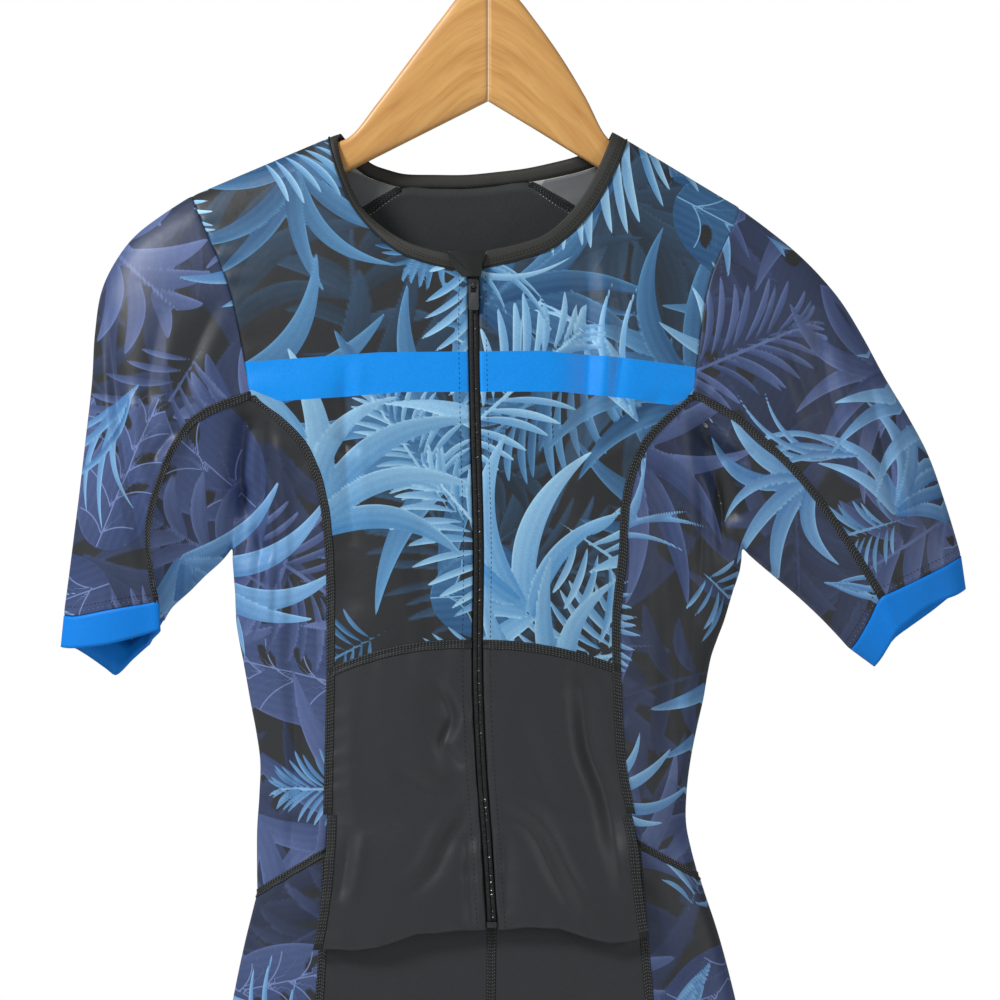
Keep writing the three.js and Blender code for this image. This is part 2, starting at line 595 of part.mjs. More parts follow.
// One tape of the zip behind its front panels, with its half of the coil standing forward
function zipTape(side) {
  const sign = side === 'left' ? -1 : 1;
  const profile = [
    { out: COIL_SPLIT, rise: COIL_HEIGHT }, { out: COIL_HALF_WIDTH, rise: COIL_HEIGHT },
    { out: COIL_HALF_WIDTH + COIL_SLOPE, rise: 0 }, { out: TAPE_HALF_WIDTH, rise: 0 },
  ];
  const back = WALL + TAPE_CLEARANCE;
  return evenly(ZIP_TOP_Z - 1, ZIP_STOP_Z, TAPE_ROWS).map((z) => {
    const row = profile.map(({ out, rise }) => {
      const point = zipAt(z);
      point.x += sign * out;
      point.y += foldDepth(point) + back - rise;
      return point;
    });
    return side === 'left' ? row.reverse() : row;
  });
}

// A shape drawn in the side view (x forwards, y up), made solid across the zip
function extrudeAcross(shape, halfWidth) {
  const settings = { depth: 2 * halfWidth, bevelEnabled: false, curveSegments: 6 };
  const geometry = new THREE.ExtrudeGeometry(shape, settings);
  geometry.translate(0, 0, -halfWidth);
  geometry.applyMatrix4(new THREE.Matrix4().set(0, 0, -1, 0, -1, 0, 0, 0, 0, 1, 0, 0, 0, 0, 0, 1));
  return geometry;
}

// A shape drawn in the front view, made solid from its front face backwards
function extrudeBack(shape, frontY, thick) {
  const settings = { depth: thick, bevelEnabled: false, curveSegments: 6 };
  const geometry = new THREE.ExtrudeGeometry(shape, settings);
  geometry.rotateX(Math.PI / 2);
  geometry.translate(0, frontY + thick, 0);
  return geometry;
}

function roundedBox(shape, left, bottom, right, top, radius) {
  shape.moveTo(left + radius, bottom);
  shape.lineTo(right - radius, bottom);
  shape.absarc(right - radius, bottom + radius, radius, -Math.PI / 2, 0, false);
  shape.lineTo(right, top - radius);
  shape.absarc(right - radius, top - radius, radius, 0, Math.PI / 2, false);
  shape.lineTo(left + radius, top);
  shape.absarc(left + radius, top - radius, radius, Math.PI / 2, Math.PI, false);
  shape.lineTo(left, bottom + radius);
  shape.absarc(left + radius, bottom + radius, radius, Math.PI, 1.5 * Math.PI, false);
  return shape;
}

// Where the slider sits: its plate lies just clear of the coil's face
const SLIDER_FACE = (() => {
  const zip = zipAt(SLIDER_AXIS_Z);
  const foremost = Math.min(zip.y, zipAt(SLIDER_AXIS_Z - SLIDER_PLATE.down).y);
  return { x: zip.x, back: foremost + WALL + TAPE_CLEARANCE - COIL_HEIGHT - SEAM_GAP };
})();
const HINGE_Y = SLIDER_FACE.back - SLIDER_PLATE.thick - BRIDGE.rise;

// The slider: a plate over the coil, with an arched bridge that holds the pull tab's bar
async function slider() {
  const wasm = await Module();
  wasm.setup();
  const { halfWidth, up, down, thick, corner } = SLIDER_PLATE;
  const plate = extrudeBack(
    roundedBox(new THREE.Shape(), -halfWidth, -down, halfWidth, up, corner),
    SLIDER_FACE.back - thick, thick,
  );
  const hingeOut = -HINGE_Y;
  const plateOut = -(SLIDER_FACE.back - thick) - BRIDGE.rooted;
  const arch = new THREE.Shape();
  arch.moveTo(plateOut, -BRIDGE.outer);
  arch.lineTo(hingeOut, -BRIDGE.outer);
  arch.absarc(hingeOut, 0, BRIDGE.outer, -Math.PI / 2, Math.PI / 2, false);
  arch.lineTo(plateOut, BRIDGE.outer);
  arch.lineTo(plateOut, BRIDGE.inner);
  arch.lineTo(hingeOut, BRIDGE.inner);
  arch.absarc(hingeOut, 0, BRIDGE.inner, Math.PI / 2, -Math.PI / 2, true);
  arch.lineTo(plateOut, -BRIDGE.inner);
  const solid = (geometry) => {
    const bare = new THREE.BufferGeometry();
    bare.setAttribute('position', geometry.getAttribute('position'));
    const merged = mergeVertices(bare, 1e-3);
    const vertProperties = merged.attributes.position.array;
    const triVerts = new Uint32Array(merged.index.array);
    return new wasm.Manifold(new wasm.Mesh({ numProp: 3, vertProperties, triVerts }));
  };
  const mesh = solid(plate).add(solid(extrudeAcross(arch, BRIDGE.halfWidth))).getMesh();
  const geometry = new THREE.BufferGeometry();
  geometry.setAttribute('position', new THREE.Float32BufferAttribute(mesh.vertProperties, 3));
  geometry.setIndex([...mesh.triVerts]);
  return geometry.translate(SLIDER_FACE.x, 0, SLIDER_AXIS_Z);
}

// The pull tab: a flat grip that hangs from a bar at the top of its window
function pullTab() {
  const shape = roundedBox(new THREE.Shape(), -TAB.halfWidth, -TAB.length, TAB.halfWidth, TAB.bar, TAB.corner);
  const { window: half, windowDown, bar } = TAB;
  const hole = roundedBox(new THREE.Path(), -half, -windowDown, half, -bar, bar / 2);
  shape.holes.push(hole);
  const geometry = extrudeBack(shape, HINGE_Y - TAB.thick / 2, TAB.thick);
  return geometry.translate(SLIDER_FACE.x, 0, SLIDER_AXIS_Z);
}

// The stop that closes the zip's lower end
function zipStop() {
  const zip = zipAt(ZIP_STOP_Z);
  const face = zip.y + WALL + TAPE_CLEARANCE - COIL_HEIGHT;
  const { halfWidth, height, corner, proud, thick } = ZIP_STOP;
  const shape = roundedBox(new THREE.Shape(), -halfWidth, -height, halfWidth, 0, corner);
  return extrudeBack(shape, face - proud, thick).translate(zip.x, 0, ZIP_STOP_Z - SEAM_GAP);
}

// The garage: the binding's end folded to the front over the top of the zip
function zipGarage() {
  const rows = GARAGE.map(({ z, left, right, out }) => [
    new THREE.Vector3(left, -out, z),
    new THREE.Vector3((left + right) / 2, -out - BINDING_CROWN, z),
    new THREE.Vector3(right, -out, z),
  ]);
  const lines = [0, 1, 2].map((i) => sample(rows.map((row) => row[i]), 2));
  return lines[0].map((_, j) => lines.map((line) => line[j]));
}

// A wooden arm of the hanger: upright slices with rounded corners, from the mitre to its tip
function hangerArm(side) {
  const sign = side === 'left' ? -1 : 1;
  const rows = SIDES[side].wood.map(({ x, top, bottom }) => (
    x === 0 ? { x: sign * WOOD_MITRE_GAP, top, bottom } : { x, top: top - WOOD_DROP, bottom }));
  const slices = rows.map(({ x, top, bottom }) => {
    const corner = Math.min(WOOD_CORNER, WOOD_CORNER_SHARE * (top - bottom));
    const shape = new THREE.Shape();
    roundedBox(shape, -WOOD_HALF_THICK, bottom, WOOD_HALF_THICK, top, corner);
    return shape.getPoints(2).slice(0, -1).map((p) => new THREE.Vector3(x, p.x, p.y));
  });
  return solidFromSlices(side === 'left' ? slices.reverse() : slices);
}

// A closed solid through rings of points that run along it, with a flat cap at each end
function solidFromSlices(slices) {
  const count = slices[0].length;
  const positions = slices.flat().flatMap((p) => [p.x, p.y, p.z]);
  const triangles = [];
  for (let j = 0; j < slices.length - 1; j += 1) {
    for (let i = 0; i < count; i += 1) {
      const next = (i + 1) % count;
      const [a, b] = [j * count + i, j * count + next];
      triangles.push(a, b, b + count, a, b + count, a + count);
    }
  }
  const lastRing = (slices.length - 1) * count;
  for (let i = 1; i < count - 1; i += 1) {
    triangles.push(0, i + 1, i);
    triangles.push(lastRing, lastRing + i, lastRing + i + 1);
  }
  const geometry = new THREE.BufferGeometry();
  geometry.setAttribute('position', new THREE.Float32BufferAttribute(positions, 3));
  geometry.setIndex(triangles);
  return geometry;
}

// The steel hook: a stem out of the wood's peak and an open loop over the rail's place
function hook() {
  const radius = HOOK_INNER_RADIUS + HOOK_WIRE / 2;
  const centreZ = -HOOK_INNER_RADIUS;
  const stem = [HOOK_STEM_END_Z, HOOK_STEM_END_Z + HOOK_STEM_RISE];
  const points = stem.map((z) => new THREE.Vector3(0, 0, z));
  for (let degrees = HOOK_SWEEP.from; degrees <= HOOK_SWEEP.to; degrees += HOOK_SWEEP.step) {
    const angle = THREE.MathUtils.degToRad(degrees);
    points.push(new THREE.Vector3(radius * Math.cos(angle), 0, centreZ + radius * Math.sin(angle)));
  }
  const section = new THREE.Shape();
  section.absarc(0, 0, HOOK_WIRE / 2, 0, 2 * Math.PI, false);
  const settings = { steps: HOOK_STEPS, extrudePath: new THREE.CatmullRomCurve3(points), curveSegments: 4 };
  return new THREE.ExtrudeGeometry(section, settings);
}

const PARTS = { left: sideGrids('left'), right: sideGrids('right') };
const FRONTS = { left: frontUpper('left', PARTS.left), right: frontUpper('right', PARTS.right) };
const HALVES = {};
for (const side of ['left', 'right']) {
  HALVES[side] = {
    front: shortsHalf(side, 'front', PARTS[side]),
    back: shortsHalf(side, 'back', PARTS[side]),
  };
}
const BACK_HALVES = { left: HALVES.left.back, right: HALVES.right.back };
const BACK = backPanel(PARTS.left, PARTS.right, FRONTS, BACK_HALVES);

for (const side of ['left', 'right']) {
  const grids = PARTS[side];
  const cloth = (grid, seams) => wall(facing(settle(grid), side), seams);
  const turned = { mitre: TURNED_MITRE };
  add(`front_upper_${side}`, cloth(FRONTS[side]), MATERIALS.print);
  add(`front_lower_${side}`, cloth(frontLower(side, grids)), MATERIALS.black);
  add(`sleeve_${side}`, cloth(flipColumns(grids.sleeve), turned), MATERIALS.sidePrint);
  const strip = [...[...grids.underarm].reverse(), ...grids.torso.slice(1)];
  add(`side_panel_${side}`, cloth(flipColumns(strip), turned), MATERIALS.sidePrint);
  const loop = { ring: true, mitre: TURNED_MITRE, gap: BAND_INSET };
  add(`cuff_${side}`, wall(facing(flipColumns(cuff(side, grids)), side), loop), MATERIALS.cuffBlue);
  add(`shorts_side_${side}`, cloth(flipColumns(grids.shorts), turned), MATERIALS.sidePrint);
  add(`shorts_front_${side}`, cloth(HALVES[side].front, turned), MATERIALS.black);
  add(`shorts_back_${side}`, cloth(flipColumns(HALVES[side].back), turned), MATERIALS.black);
  const leg = legBand(grids, HALVES[side].front, HALVES[side].back);
  add(`leg_band_${side}`, wall(facing(flipColumns(leg), side), loop), MATERIALS.black);
  add(`zip_tape_${side}`, wall(zipTape(side), { thick: TAPE_WALL, gap: 0, mitre: 0 }), MATERIALS.tape);
}
add('back_panel', wall(flipColumns(settle(BACK))), MATERIALS.black);
add('neck_binding', wall(flipColumns(neckBinding())), MATERIALS.binding);

add('zip_garage', wall(zipGarage(), { gap: 0, mitre: 0 }), MATERIALS.binding);
add('zip_slider', await slider(), MATERIALS.metal);
add('zip_pull_tab', pullTab(), MATERIALS.tab);
add('zip_bottom_stop', zipStop(), MATERIALS.metal);
add('hanger_arm_left', hangerArm('left'), MATERIALS.wood);
add('hanger_arm_right', hangerArm('right'), MATERIALS.wood);
add('hanger_hook', hook(), MATERIALS.steel);

export default group;
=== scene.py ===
import math

import bmesh
import bpy
import numpy as np
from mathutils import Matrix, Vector


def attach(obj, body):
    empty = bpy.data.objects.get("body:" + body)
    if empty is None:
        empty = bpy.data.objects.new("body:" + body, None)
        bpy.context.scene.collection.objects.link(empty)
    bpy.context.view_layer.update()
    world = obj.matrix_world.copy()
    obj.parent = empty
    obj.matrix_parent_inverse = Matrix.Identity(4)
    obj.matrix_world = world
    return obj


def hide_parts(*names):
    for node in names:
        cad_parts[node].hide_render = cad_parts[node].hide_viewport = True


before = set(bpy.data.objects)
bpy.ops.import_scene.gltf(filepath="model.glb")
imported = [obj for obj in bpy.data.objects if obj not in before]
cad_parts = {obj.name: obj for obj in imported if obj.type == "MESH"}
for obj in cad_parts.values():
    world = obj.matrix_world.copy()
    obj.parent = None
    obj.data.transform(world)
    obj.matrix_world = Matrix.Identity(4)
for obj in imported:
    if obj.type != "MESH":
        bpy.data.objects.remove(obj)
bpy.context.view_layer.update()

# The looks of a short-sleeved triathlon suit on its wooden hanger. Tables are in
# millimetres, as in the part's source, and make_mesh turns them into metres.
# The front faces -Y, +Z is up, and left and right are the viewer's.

MM = 0.001

# Cloth, as in the part's source
WALL = 1.2
SHOULDER_RADIUS = 9
EDGE_RADIUS = 9
SLEEVE_STEPS = 2
ARMHOLE_STEPS = [4, 6, 2, 2, 4, 4]
STRIP_STEPS = 2
NECK_STEPS = [2] * 7
YOKE_COLUMNS = 6
BACK_NECK_STEPS = 2
SHORTS_STEPS = 3
HALF_COLUMNS = [4, 4]
PANEL_CROWN = 2.5
BINDING_CROWN = 0.8
CROTCH_Z = -850
LEG_BAND_DROP = 23

# Front zip, slider and pull tab, as in the part's source
ZIP_HALF_OPENING = 3.6
TAPE_HALF_WIDTH = 10
TAPE_WALL = 1
TAPE_CLEARANCE = 0.6
COIL_HEIGHT = 1.4
COIL_PITCH = 1.3
COIL_SEEDS = {"left": 61, "right": 67}
TAPE_ROWS = 181
ZIP_STOP_Z = -655

# Hanger and hook
WOOD_HALF_THICK = 5.5
WOOD_DROP = 1.6
WOOD_MITRE_GAP = 0.15
HOOK_WIRE = 3.6
HOOK_INNER_RADIUS = 20
HOOK_STEM_END_Z = -59.6
HOOK_STEM_RISE = 8
HOOK_SWEEP = [-62, 205, 15]

# Fineness of the scene's cloth: printed panels, plain panels, and the plain inside
PRINT_CELL = 1.15
SHORTS_PRINT_CELL = 1.8
LOWER_FRONT_CELL = 1.5
BACK_CELL = 1.8
BINDING_CELL = 1.0
GARAGE_CELL = 0.7
PLAIN_CELL = 2.4
INNER_RATIO = 3

# Topstitching beside the zip: its distance from either panel's edge
ZIP_TOPSTITCH = {"left": 5.8, "right": 4.5}
SIDES = {
  "left": {
    "sleeve": [
      {"seam": [-149, -24, -325], "front": [-163, -21, -258], "outer": [-188, 0, -197],
        "back": [-168, 15, -262], "seam_back": [-149, 20, -322], "under": [-163, 0, -422]},
      {"seam": [-169, -26, -332], "front": [-197, -23, -276], "outer": [-225, 0, -223],
        "back": [-198, 17, -288], "seam_back": [-168, 21, -336], "under": [-170, 0, -430]},
      {"seam": [-187, -27, -343], "front": [-217, -24, -303], "outer": [-246, 0, -258],
        "back": [-216, 18, -316], "seam_back": [-185, 21, -352], "under": [-180, 0, -439]},
      {"seam": [-203, -27, -372], "front": [-229, -23, -345], "outer": [-252, 0, -315],
        "back": [-229, 18, -358], "seam_back": [-199, 21, -384], "under": [-190, 1, -449]},
      {"seam": [-213, -24, -412], "front": [-237, -20, -398], "outer": [-260, 0, -385],
        "back": [-240, 18, -410], "seam_back": [-212, 20, -428], "under": [-201, 2, -459]},
      {"seam": [-208, -16, -455], "front": [-239, -16, -460], "outer": [-270, 0, -464],
        "back": [-250, 16, -472], "seam_back": [-228, 17, -480], "under": [-207, 4, -468]},
    ],
    "cuff": {"seam": [-207, -14, -473], "front": [-241, -14, -482], "outer": [-272, 0, -484],
      "back": [-256, 15, -491], "seam_back": [-239, 15, -503], "under": [-216, 8, -483]},
    "torso": [
      {"seam": [-118, -25, -353], "under": [-162, 0, -437], "seam_back": [-130, 21, -352]},
      {"seam": [-105, -25, -385], "under": [-161, 0, -450], "seam_back": [-120, 22, -385]},
      {"seam": [-100, -25, -425], "under": [-160, 0, -470], "seam_back": [-117, 22, -425]},
      {"seam": [-99, -25, -462], "under": [-156, 0, -492], "seam_back": [-115, 22, -462]},
      {"seam": [-99, -25, -499], "under": [-151, 0, -520], "seam_back": [-113, 22, -499]},
      {"seam": [-100, -24.5, -555], "under": [-145, 0, -557], "seam_back": [-112, 22, -555]},
      {"seam": [-101, -24, -590], "under": [-147, 0, -600], "seam_back": [-113, 22, -588]},
      {"seam": [-102, -21.5, -612], "under": [-147, 0, -641], "seam_back": [-114, 22, -612]},
    ],
    "shorts": [
      {"seam": [-103, -21, -650], "under": [-157, 0, -682], "seam_back": [-118, 22, -650]},
      {"seam": [-108, -21, -740], "under": [-170, 0, -755], "seam_back": [-124, 23, -740]},
      {"seam": [-112, -21, -850], "under": [-176, 0, -850], "seam_back": [-128, 23, -850]},
      {"seam": [-112, -20, -985], "under": [-178, 0, -985], "seam_back": [-128, 20, -985]},
    ],
    "neck": [
      {"outer": [-14, -25, -247], "inner": [-24, -26, -236]},
      {"outer": [-55, -23, -235], "inner": [-51, -23, -228]},
      {"outer": [-86, -17, -204], "inner": [-80, -14, -205]},
      {"outer": [-100, -8, -167], "inner": [-95, -6.8, -166]},
      {"outer": [-101, 0, -160], "inner": [-94, 0, -157.5]},
      {"outer": [-97, 8, -167], "inner": [-90, 8, -162]},
      {"outer": [-78, 12, -183], "inner": [-74, 12, -176]},
      {"outer": [-56, 14, -190.5], "inner": [-54, 14, -182]},
    ],
    "flap": [
      {"seam": [-102, -26.5, -612]},
      {"seam": [-105, -28, -643]},
      {"seam": [-110, -28, -668]},
    ],
    "inseam": [-24, 0, -985],
    "wood": [
      {"x": 0, "top": -60, "bottom": -137}, {"x": -15, "top": -65, "bottom": -144.5},
      {"x": -30, "top": -83, "bottom": -152}, {"x": -49, "top": -108, "bottom": -161.5},
      {"x": -70, "top": -136, "bottom": -172}, {"x": -88, "top": -158, "bottom": -181},
      {"x": -101, "top": -163, "bottom": -187}, {"x": -145, "top": -181.5, "bottom": -206},
      {"x": -188, "top": -200.5, "bottom": -221}, {"x": -207, "top": -213.5, "bottom": -227},
    ],
 },
  "right": {
    "sleeve": [
      {"seam": [129, -24, -325], "front": [140, -21, -252], "outer": [160, 0, -205],
        "back": [146, 15, -258], "seam_back": [129, 20, -322], "under": [162, 0, -422]},
      {"seam": [152, -26, -337], "front": [175, -23, -280], "outer": [197, 0, -234],
        "back": [178, 17, -286], "seam_back": [151, 21, -340], "under": [171, 0, -430]},
      {"seam": [174, -27, -355], "front": [200, -24, -308], "outer": [225, 0, -265],
        "back": [202, 18, -312], "seam_back": [173, 21, -358], "under": [184, 0, -441]},
      {"seam": [197, -28, -378], "front": [227, -24, -345], "outer": [252, 0, -312],
        "back": [228, 18, -348], "seam_back": [196, 21, -384], "under": [197, 1, -452]},
      {"seam": [223, -26, -413], "front": [254, -21, -388], "outer": [280, 0, -362],
        "back": [255, 18, -392], "seam_back": [222, 20, -420], "under": [213, 2, -467]},
      {"seam": [248, -20, -452], "front": [276, -16, -439], "outer": [301, 0, -426],
        "back": [280, 16, -442], "seam_back": [252, 18, -458], "under": [231, 4, -486]},
    ],
    "cuff": {"seam": [258, -17, -474], "front": [278, -14, -458], "outer": [304, 0, -447],
      "back": [284, 14, -462], "seam_back": [262, 16, -478], "under": [246, 4, -497]},
    "torso": [
      {"seam": [100, -25, -353], "under": [160, 0, -436], "seam_back": [112, 21, -352]},
      {"seam": [88, -25, -385], "under": [156, 0, -448], "seam_back": [102, 22, -385]},
      {"seam": [85, -25, -425], "under": [150, 0, -468], "seam_back": [98, 22, -425]},
      {"seam": [81, -25, -462], "under": [142, 0, -490], "seam_back": [95, 22, -462]},
      {"seam": [81, -25, -497], "under": [137, 0, -517], "seam_back": [93, 22, -497]},
      {"seam": [84, -24.5, -555], "under": [129, 0, -555], "seam_back": [93, 22, -555]},
      {"seam": [90, -24, -587], "under": [126, 0, -596], "seam_back": [95, 22, -586]},
      {"seam": [94, -21.5, -607], "under": [134, 0, -630], "seam_back": [98, 22, -607]},
    ],
    "shorts": [
      {"seam": [97, -21, -650], "under": [148, 0, -672], "seam_back": [104, 22, -650]},
      {"seam": [104, -21, -740], "under": [165, 0, -748], "seam_back": [118, 23, -740]},
      {"seam": [108, -21, -850], "under": [172, 0, -850], "seam_back": [124, 23, -850]},
      {"seam": [108, -20, -985], "under": [174, 0, -985], "seam_back": [124, 20, -985]},
    ],
    "neck": [
      {"outer": [-4, -25, -245], "inner": [-1, -26, -234]},
      {"outer": [40, -23, -232], "inner": [35, -24, -224]},
      {"outer": [68, -17, -204], "inner": [59, -17.5, -200]},
      {"outer": [86, -8, -168], "inner": [77, -8, -163]},
      {"outer": [88, 0, -161.5], "inner": [79, 0, -156.5]},
      {"outer": [84, 8, -169], "inner": [75, 8, -163]},
      {"outer": [60, 12, -180], "inner": [55, 12, -171.5]},
      {"outer": [26, 14, -187], "inner": [24, 14, -178.5]},
    ],
    "flap": [
      {"seam": [94, -26.5, -607]},
      {"seam": [97, -28, -635]},
      {"seam": [101, -28, -660]},
    ],
    "inseam": [24, 0, -985],
    "wood": [
      {"x": 0, "top": -60, "bottom": -137}, {"x": 15, "top": -66, "bottom": -146},
      {"x": 30, "top": -84, "bottom": -155}, {"x": 47, "top": -108, "bottom": -165.5},
      {"x": 62, "top": -133, "bottom": -174.5}, {"x": 76, "top": -159, "bottom": -183},
      {"x": 88, "top": -166, "bottom": -190}, {"x": 124, "top": -186.5, "bottom": -212},
      {"x": 160, "top": -208.5, "bottom": -229}, {"x": 180, "top": -224, "bottom": -237},
    ],
 },
}

# The zip's centre line at the cloth's outer face, from the neck to the hem
ZIP_LINE = [
  {"z": -245, "x": -9, "y": -25}, {"z": -285, "x": -9, "y": -29}, {"z": -340, "x": -8, "y": -31.5},
  {"z": -420, "x": -6, "y": -32}, {"z": -500, "x": -6.5, "y": -32}, {"z": -560, "x": -4, "y": -31},
  {"z": -615, "x": 0, "y": -30}, {"z": -664, "x": 3, "y": -29},
]
ZIP_TOP_Z = -246
ZIP_CHEST_Z = -318
WAIST_Z = -481
FLAP_LIFT_Z = -588
HEM_Z = -661

# How far the waist seam's middle rises over the straight line between its ends
WAIST_RISE = {"left": 5.5, "right": 4}

# Middle of the back neck
BACK_NECK = {"outer": [-14, 15, -191], "inner": [-14, 15, -182.5]}

# Centre seam of the shorts from behind the flap to the crotch
CENTRE_FRONT = [[3, -19, -606], [2, -20, -690], [1, -18, -780], [0, -10, -832], [0, 0, -850]]
CENTRE_BACK = [[-8, 26, -612], [-4, 26, -690], [-1, 23, -780], [0, 12, -832], [0, 0, -850]]
CENTRE_SPLIT = 0.15
SEAT_TURN_Z = -780
SEAT_DEPTH = 16
INSEAM_MIDDLE = (13, -915)
BACK_BOW = 8

# Large folds of the hanging cloth on either face: the ends of a line down it, the depth
# that the cloth sinks (plus) or stands out (minus) along it, and its half width
FOLDS = {
    "front": [
        ([[-151, -345], [-157, -425]], 9, 9),
        ([[-135, -360], [-141, -560]], -2.5, 8),
        ([[-124, -400], [-128, -600]], 2.5, 8),
        ([[-89, -330], [-88, -450]], 2.5, 13),
        ([[-222, -335], [-209, -440]], -4, 11),
        ([[137, -345], [152, -418]], 9, 9),
        ([[112, -380], [116, -560]], 2.5, 8),
        ([[62, -250], [60, -400]], 2.5, 12),
        ([[205, -300], [218, -370]], 3, 11),
        ([[60, -510], [76, -600]], 2.5, 11),
        ([[-30, -520], [-14, -600]], 2.5, 11),
    ],
    "back": [
        ([[-70, -300], [-52, -560]], 3, 16),
        ([[44, -290], [36, -540]], 3, 16),
        ([[-8, -420], [-12, -600]], 2.5, 14),
        ([[-200, -330], [-215, -430]], 3, 12),
        ([[205, -330], [232, -410]], 3, 12),
    ],
}

# The garage over the zip's top, a row for each level from the neck edge down
GARAGE = [
  {"z": -234.5, "left": -26, "right": -3, "out": 28},
  {"z": -244, "left": -22, "right": -3.5, "out": 28.6},
  {"z": -250.5, "left": -16.5, "right": -4.5, "out": 29.4},
]
GARAGE_FOLD = [[-24, -236], [-7, -252]]

# How much lower the free hem hangs than a level line, at places across it
HEM_WAVE = {"x": [-104, -85, -70, -45, -15, 3, 25, 45, 62, 76, 90, 102],
            "z": [-5, -7, -6.5, 0.5, 1, 0, 2, 1, -5, -9, -8, -5]}
HEM_WAVE_TOP = -610

# Folds act from this far in front of the middle plane, in full after the second distance
EDGE_ON = 6
FOLD_FADE = 12

# Small creases, which only the scene's finer cloth shows: a path down a face, how deep it
# sinks, and its half width. Most have a lip too, as a share of the depth, which stands up
# on the right of the path's direction when it is positive.
CREASES = {
    "front": [
        ([[-34, -502], [-22.7, -527], [-28.4, -546], [-14.5, -558]], 3.7, 4, 0.5),
        ([[-9.5, -581.5], [-25.8, -607], [-34, -624], [-52, -640]], 2.5, 5, -0.5),
        ([[7.6, -586], [26.5, -598], [42.8, -629], [56.7, -653]], 3.7, 5, 0.6),
        ([[58, -494], [63, -546], [75.6, -580], [84, -640]], 3.7, 6, -0.5),
        ([[-13, -600], [-10.7, -658]], 3.1, 3.5, 0.4),
        ([[12, -598], [11.3, -652]], 2.2, 4.5, -0.4),
        ([[-85.7, -596], [-93.9, -645]], 2.6, 4.5, 0.5),
        ([[-96, -500], [-98, -560], [-92, -620]], 2, 6, 0.4),
        ([[-60, -560], [-30, -575], [-14, -572]], 1.7, 6, 0.4),
        ([[18, -520], [30, -560], [50, -600]], 1.5, 8, 0.4),
        ([[-89, -300], [-90, -352], [-84, -420]], 2.7, 5, 0.5),
        ([[-30, -480], [-42, -440], [-40, -400]], 1.5, 7, 0.4),
        ([[-124, -330], [-98, -352], [-70, -360]], 1.9, 5, -0.5),
        ([[61, -222], [63, -300], [58, -380]], 2.4, 6, 0.5),
        ([[80, -230], [84, -290], [76, -350]], 2.2, 5, -0.4),
        ([[112, -322], [84, -350], [60, -362]], 1.9, 5, 0.5),
        ([[-141, -330], [-143, -390], [-147, -470]], 5, 4.5, -0.5),
        ([[-137, -352], [-133, -420], [-138, -500]], 3.1, 3.5, 0.5),
        ([[-140, -480], [-136, -560], [-138, -620]], 3.1, 5, 0.5),
        ([[-124, -470], [-122, -560], [-126, -640]], 2.7, 5, -0.5),
        ([[-154, -340], [-158, -380], [-156, -410]], 3.4, 4, 0.5),
        ([[-155, -386], [-148, -408], [-142, -422]], 6, 6),
        ([[150, -366], [156, -384], [157, -398]], 6, 6),
        ([[133, -350], [150, -362], [166, -366]], 4.6, 4.5, 0.6),
        ([[134, -358], [146, -384], [150, -412]], 4.4, 4, -0.5),
        ([[130, -352], [136, -400], [134, -470]], 3.4, 4.5, 0.5),
        ([[124, -430], [120, -520], [126, -600]], 3.1, 5, 0.5),
        ([[-244, -250], [-235, -320], [-222, -400], [-208, -455]], 4.4, 5, -0.7),
        ([[-206, -270], [-214, -330], [-206, -390]], 2.4, 6, 0.5),
        ([[-168, -262], [-186, -300], [-192, -338]], 1.9, 6, 0.5),
        ([[-196, -345], [-206, -358], [-212, -366]], 3.1, 3.5, 0.7),
        ([[206, -268], [214, -320], [228, -372]], 3.4, 6, 0.5),
        ([[178, -262], [196, -310], [206, -350]], 2.2, 6, -0.5),
        ([[240, -300], [250, -360], [262, -420]], 2.7, 5, 0.5),
        ([[-66, -700], [-76, -780], [-70, -860]], 3.1, 7, 0.5),
        ([[58, -700], [70, -790], [62, -860]], 3.1, 7, -0.5),
        ([[-30, -760], [-46, -830], [-60, -880]], 2.7, 6, 0.5),
        ([[24, -760], [40, -830], [56, -880]], 2.7, 6, -0.5),
    ],
    "back": [
        ([[-92, -250], [-70, -330], [-66, -430]], 3.4, 8, 0.5),
        ([[84, -240], [58, -330], [50, -440]], 3.4, 8, -0.5),
        ([[-96, -480], [-40, -520], [-12, -560]], 2.7, 6, 0.5),
        ([[96, -470], [50, -520], [10, -548]], 2.7, 6, -0.5),
        ([[-50, -600], [-58, -700], [-40, -780]], 3.1, 7, 0.5),
        ([[46, -610], [54, -700], [36, -780]], 3.1, 7, -0.5),
        ([[-150, -330], [-170, -352], [-196, -362]], 3.4, 5, 0.5),
        ([[140, -330], [164, -356], [190, -366]], 3.4, 5, -0.5),
        ([[-152, -380], [-148, -450], [-150, -520]], 3.4, 5, 0.5),
        ([[136, -372], [132, -450], [132, -520]], 3.4, 5, -0.5),
    ],
}


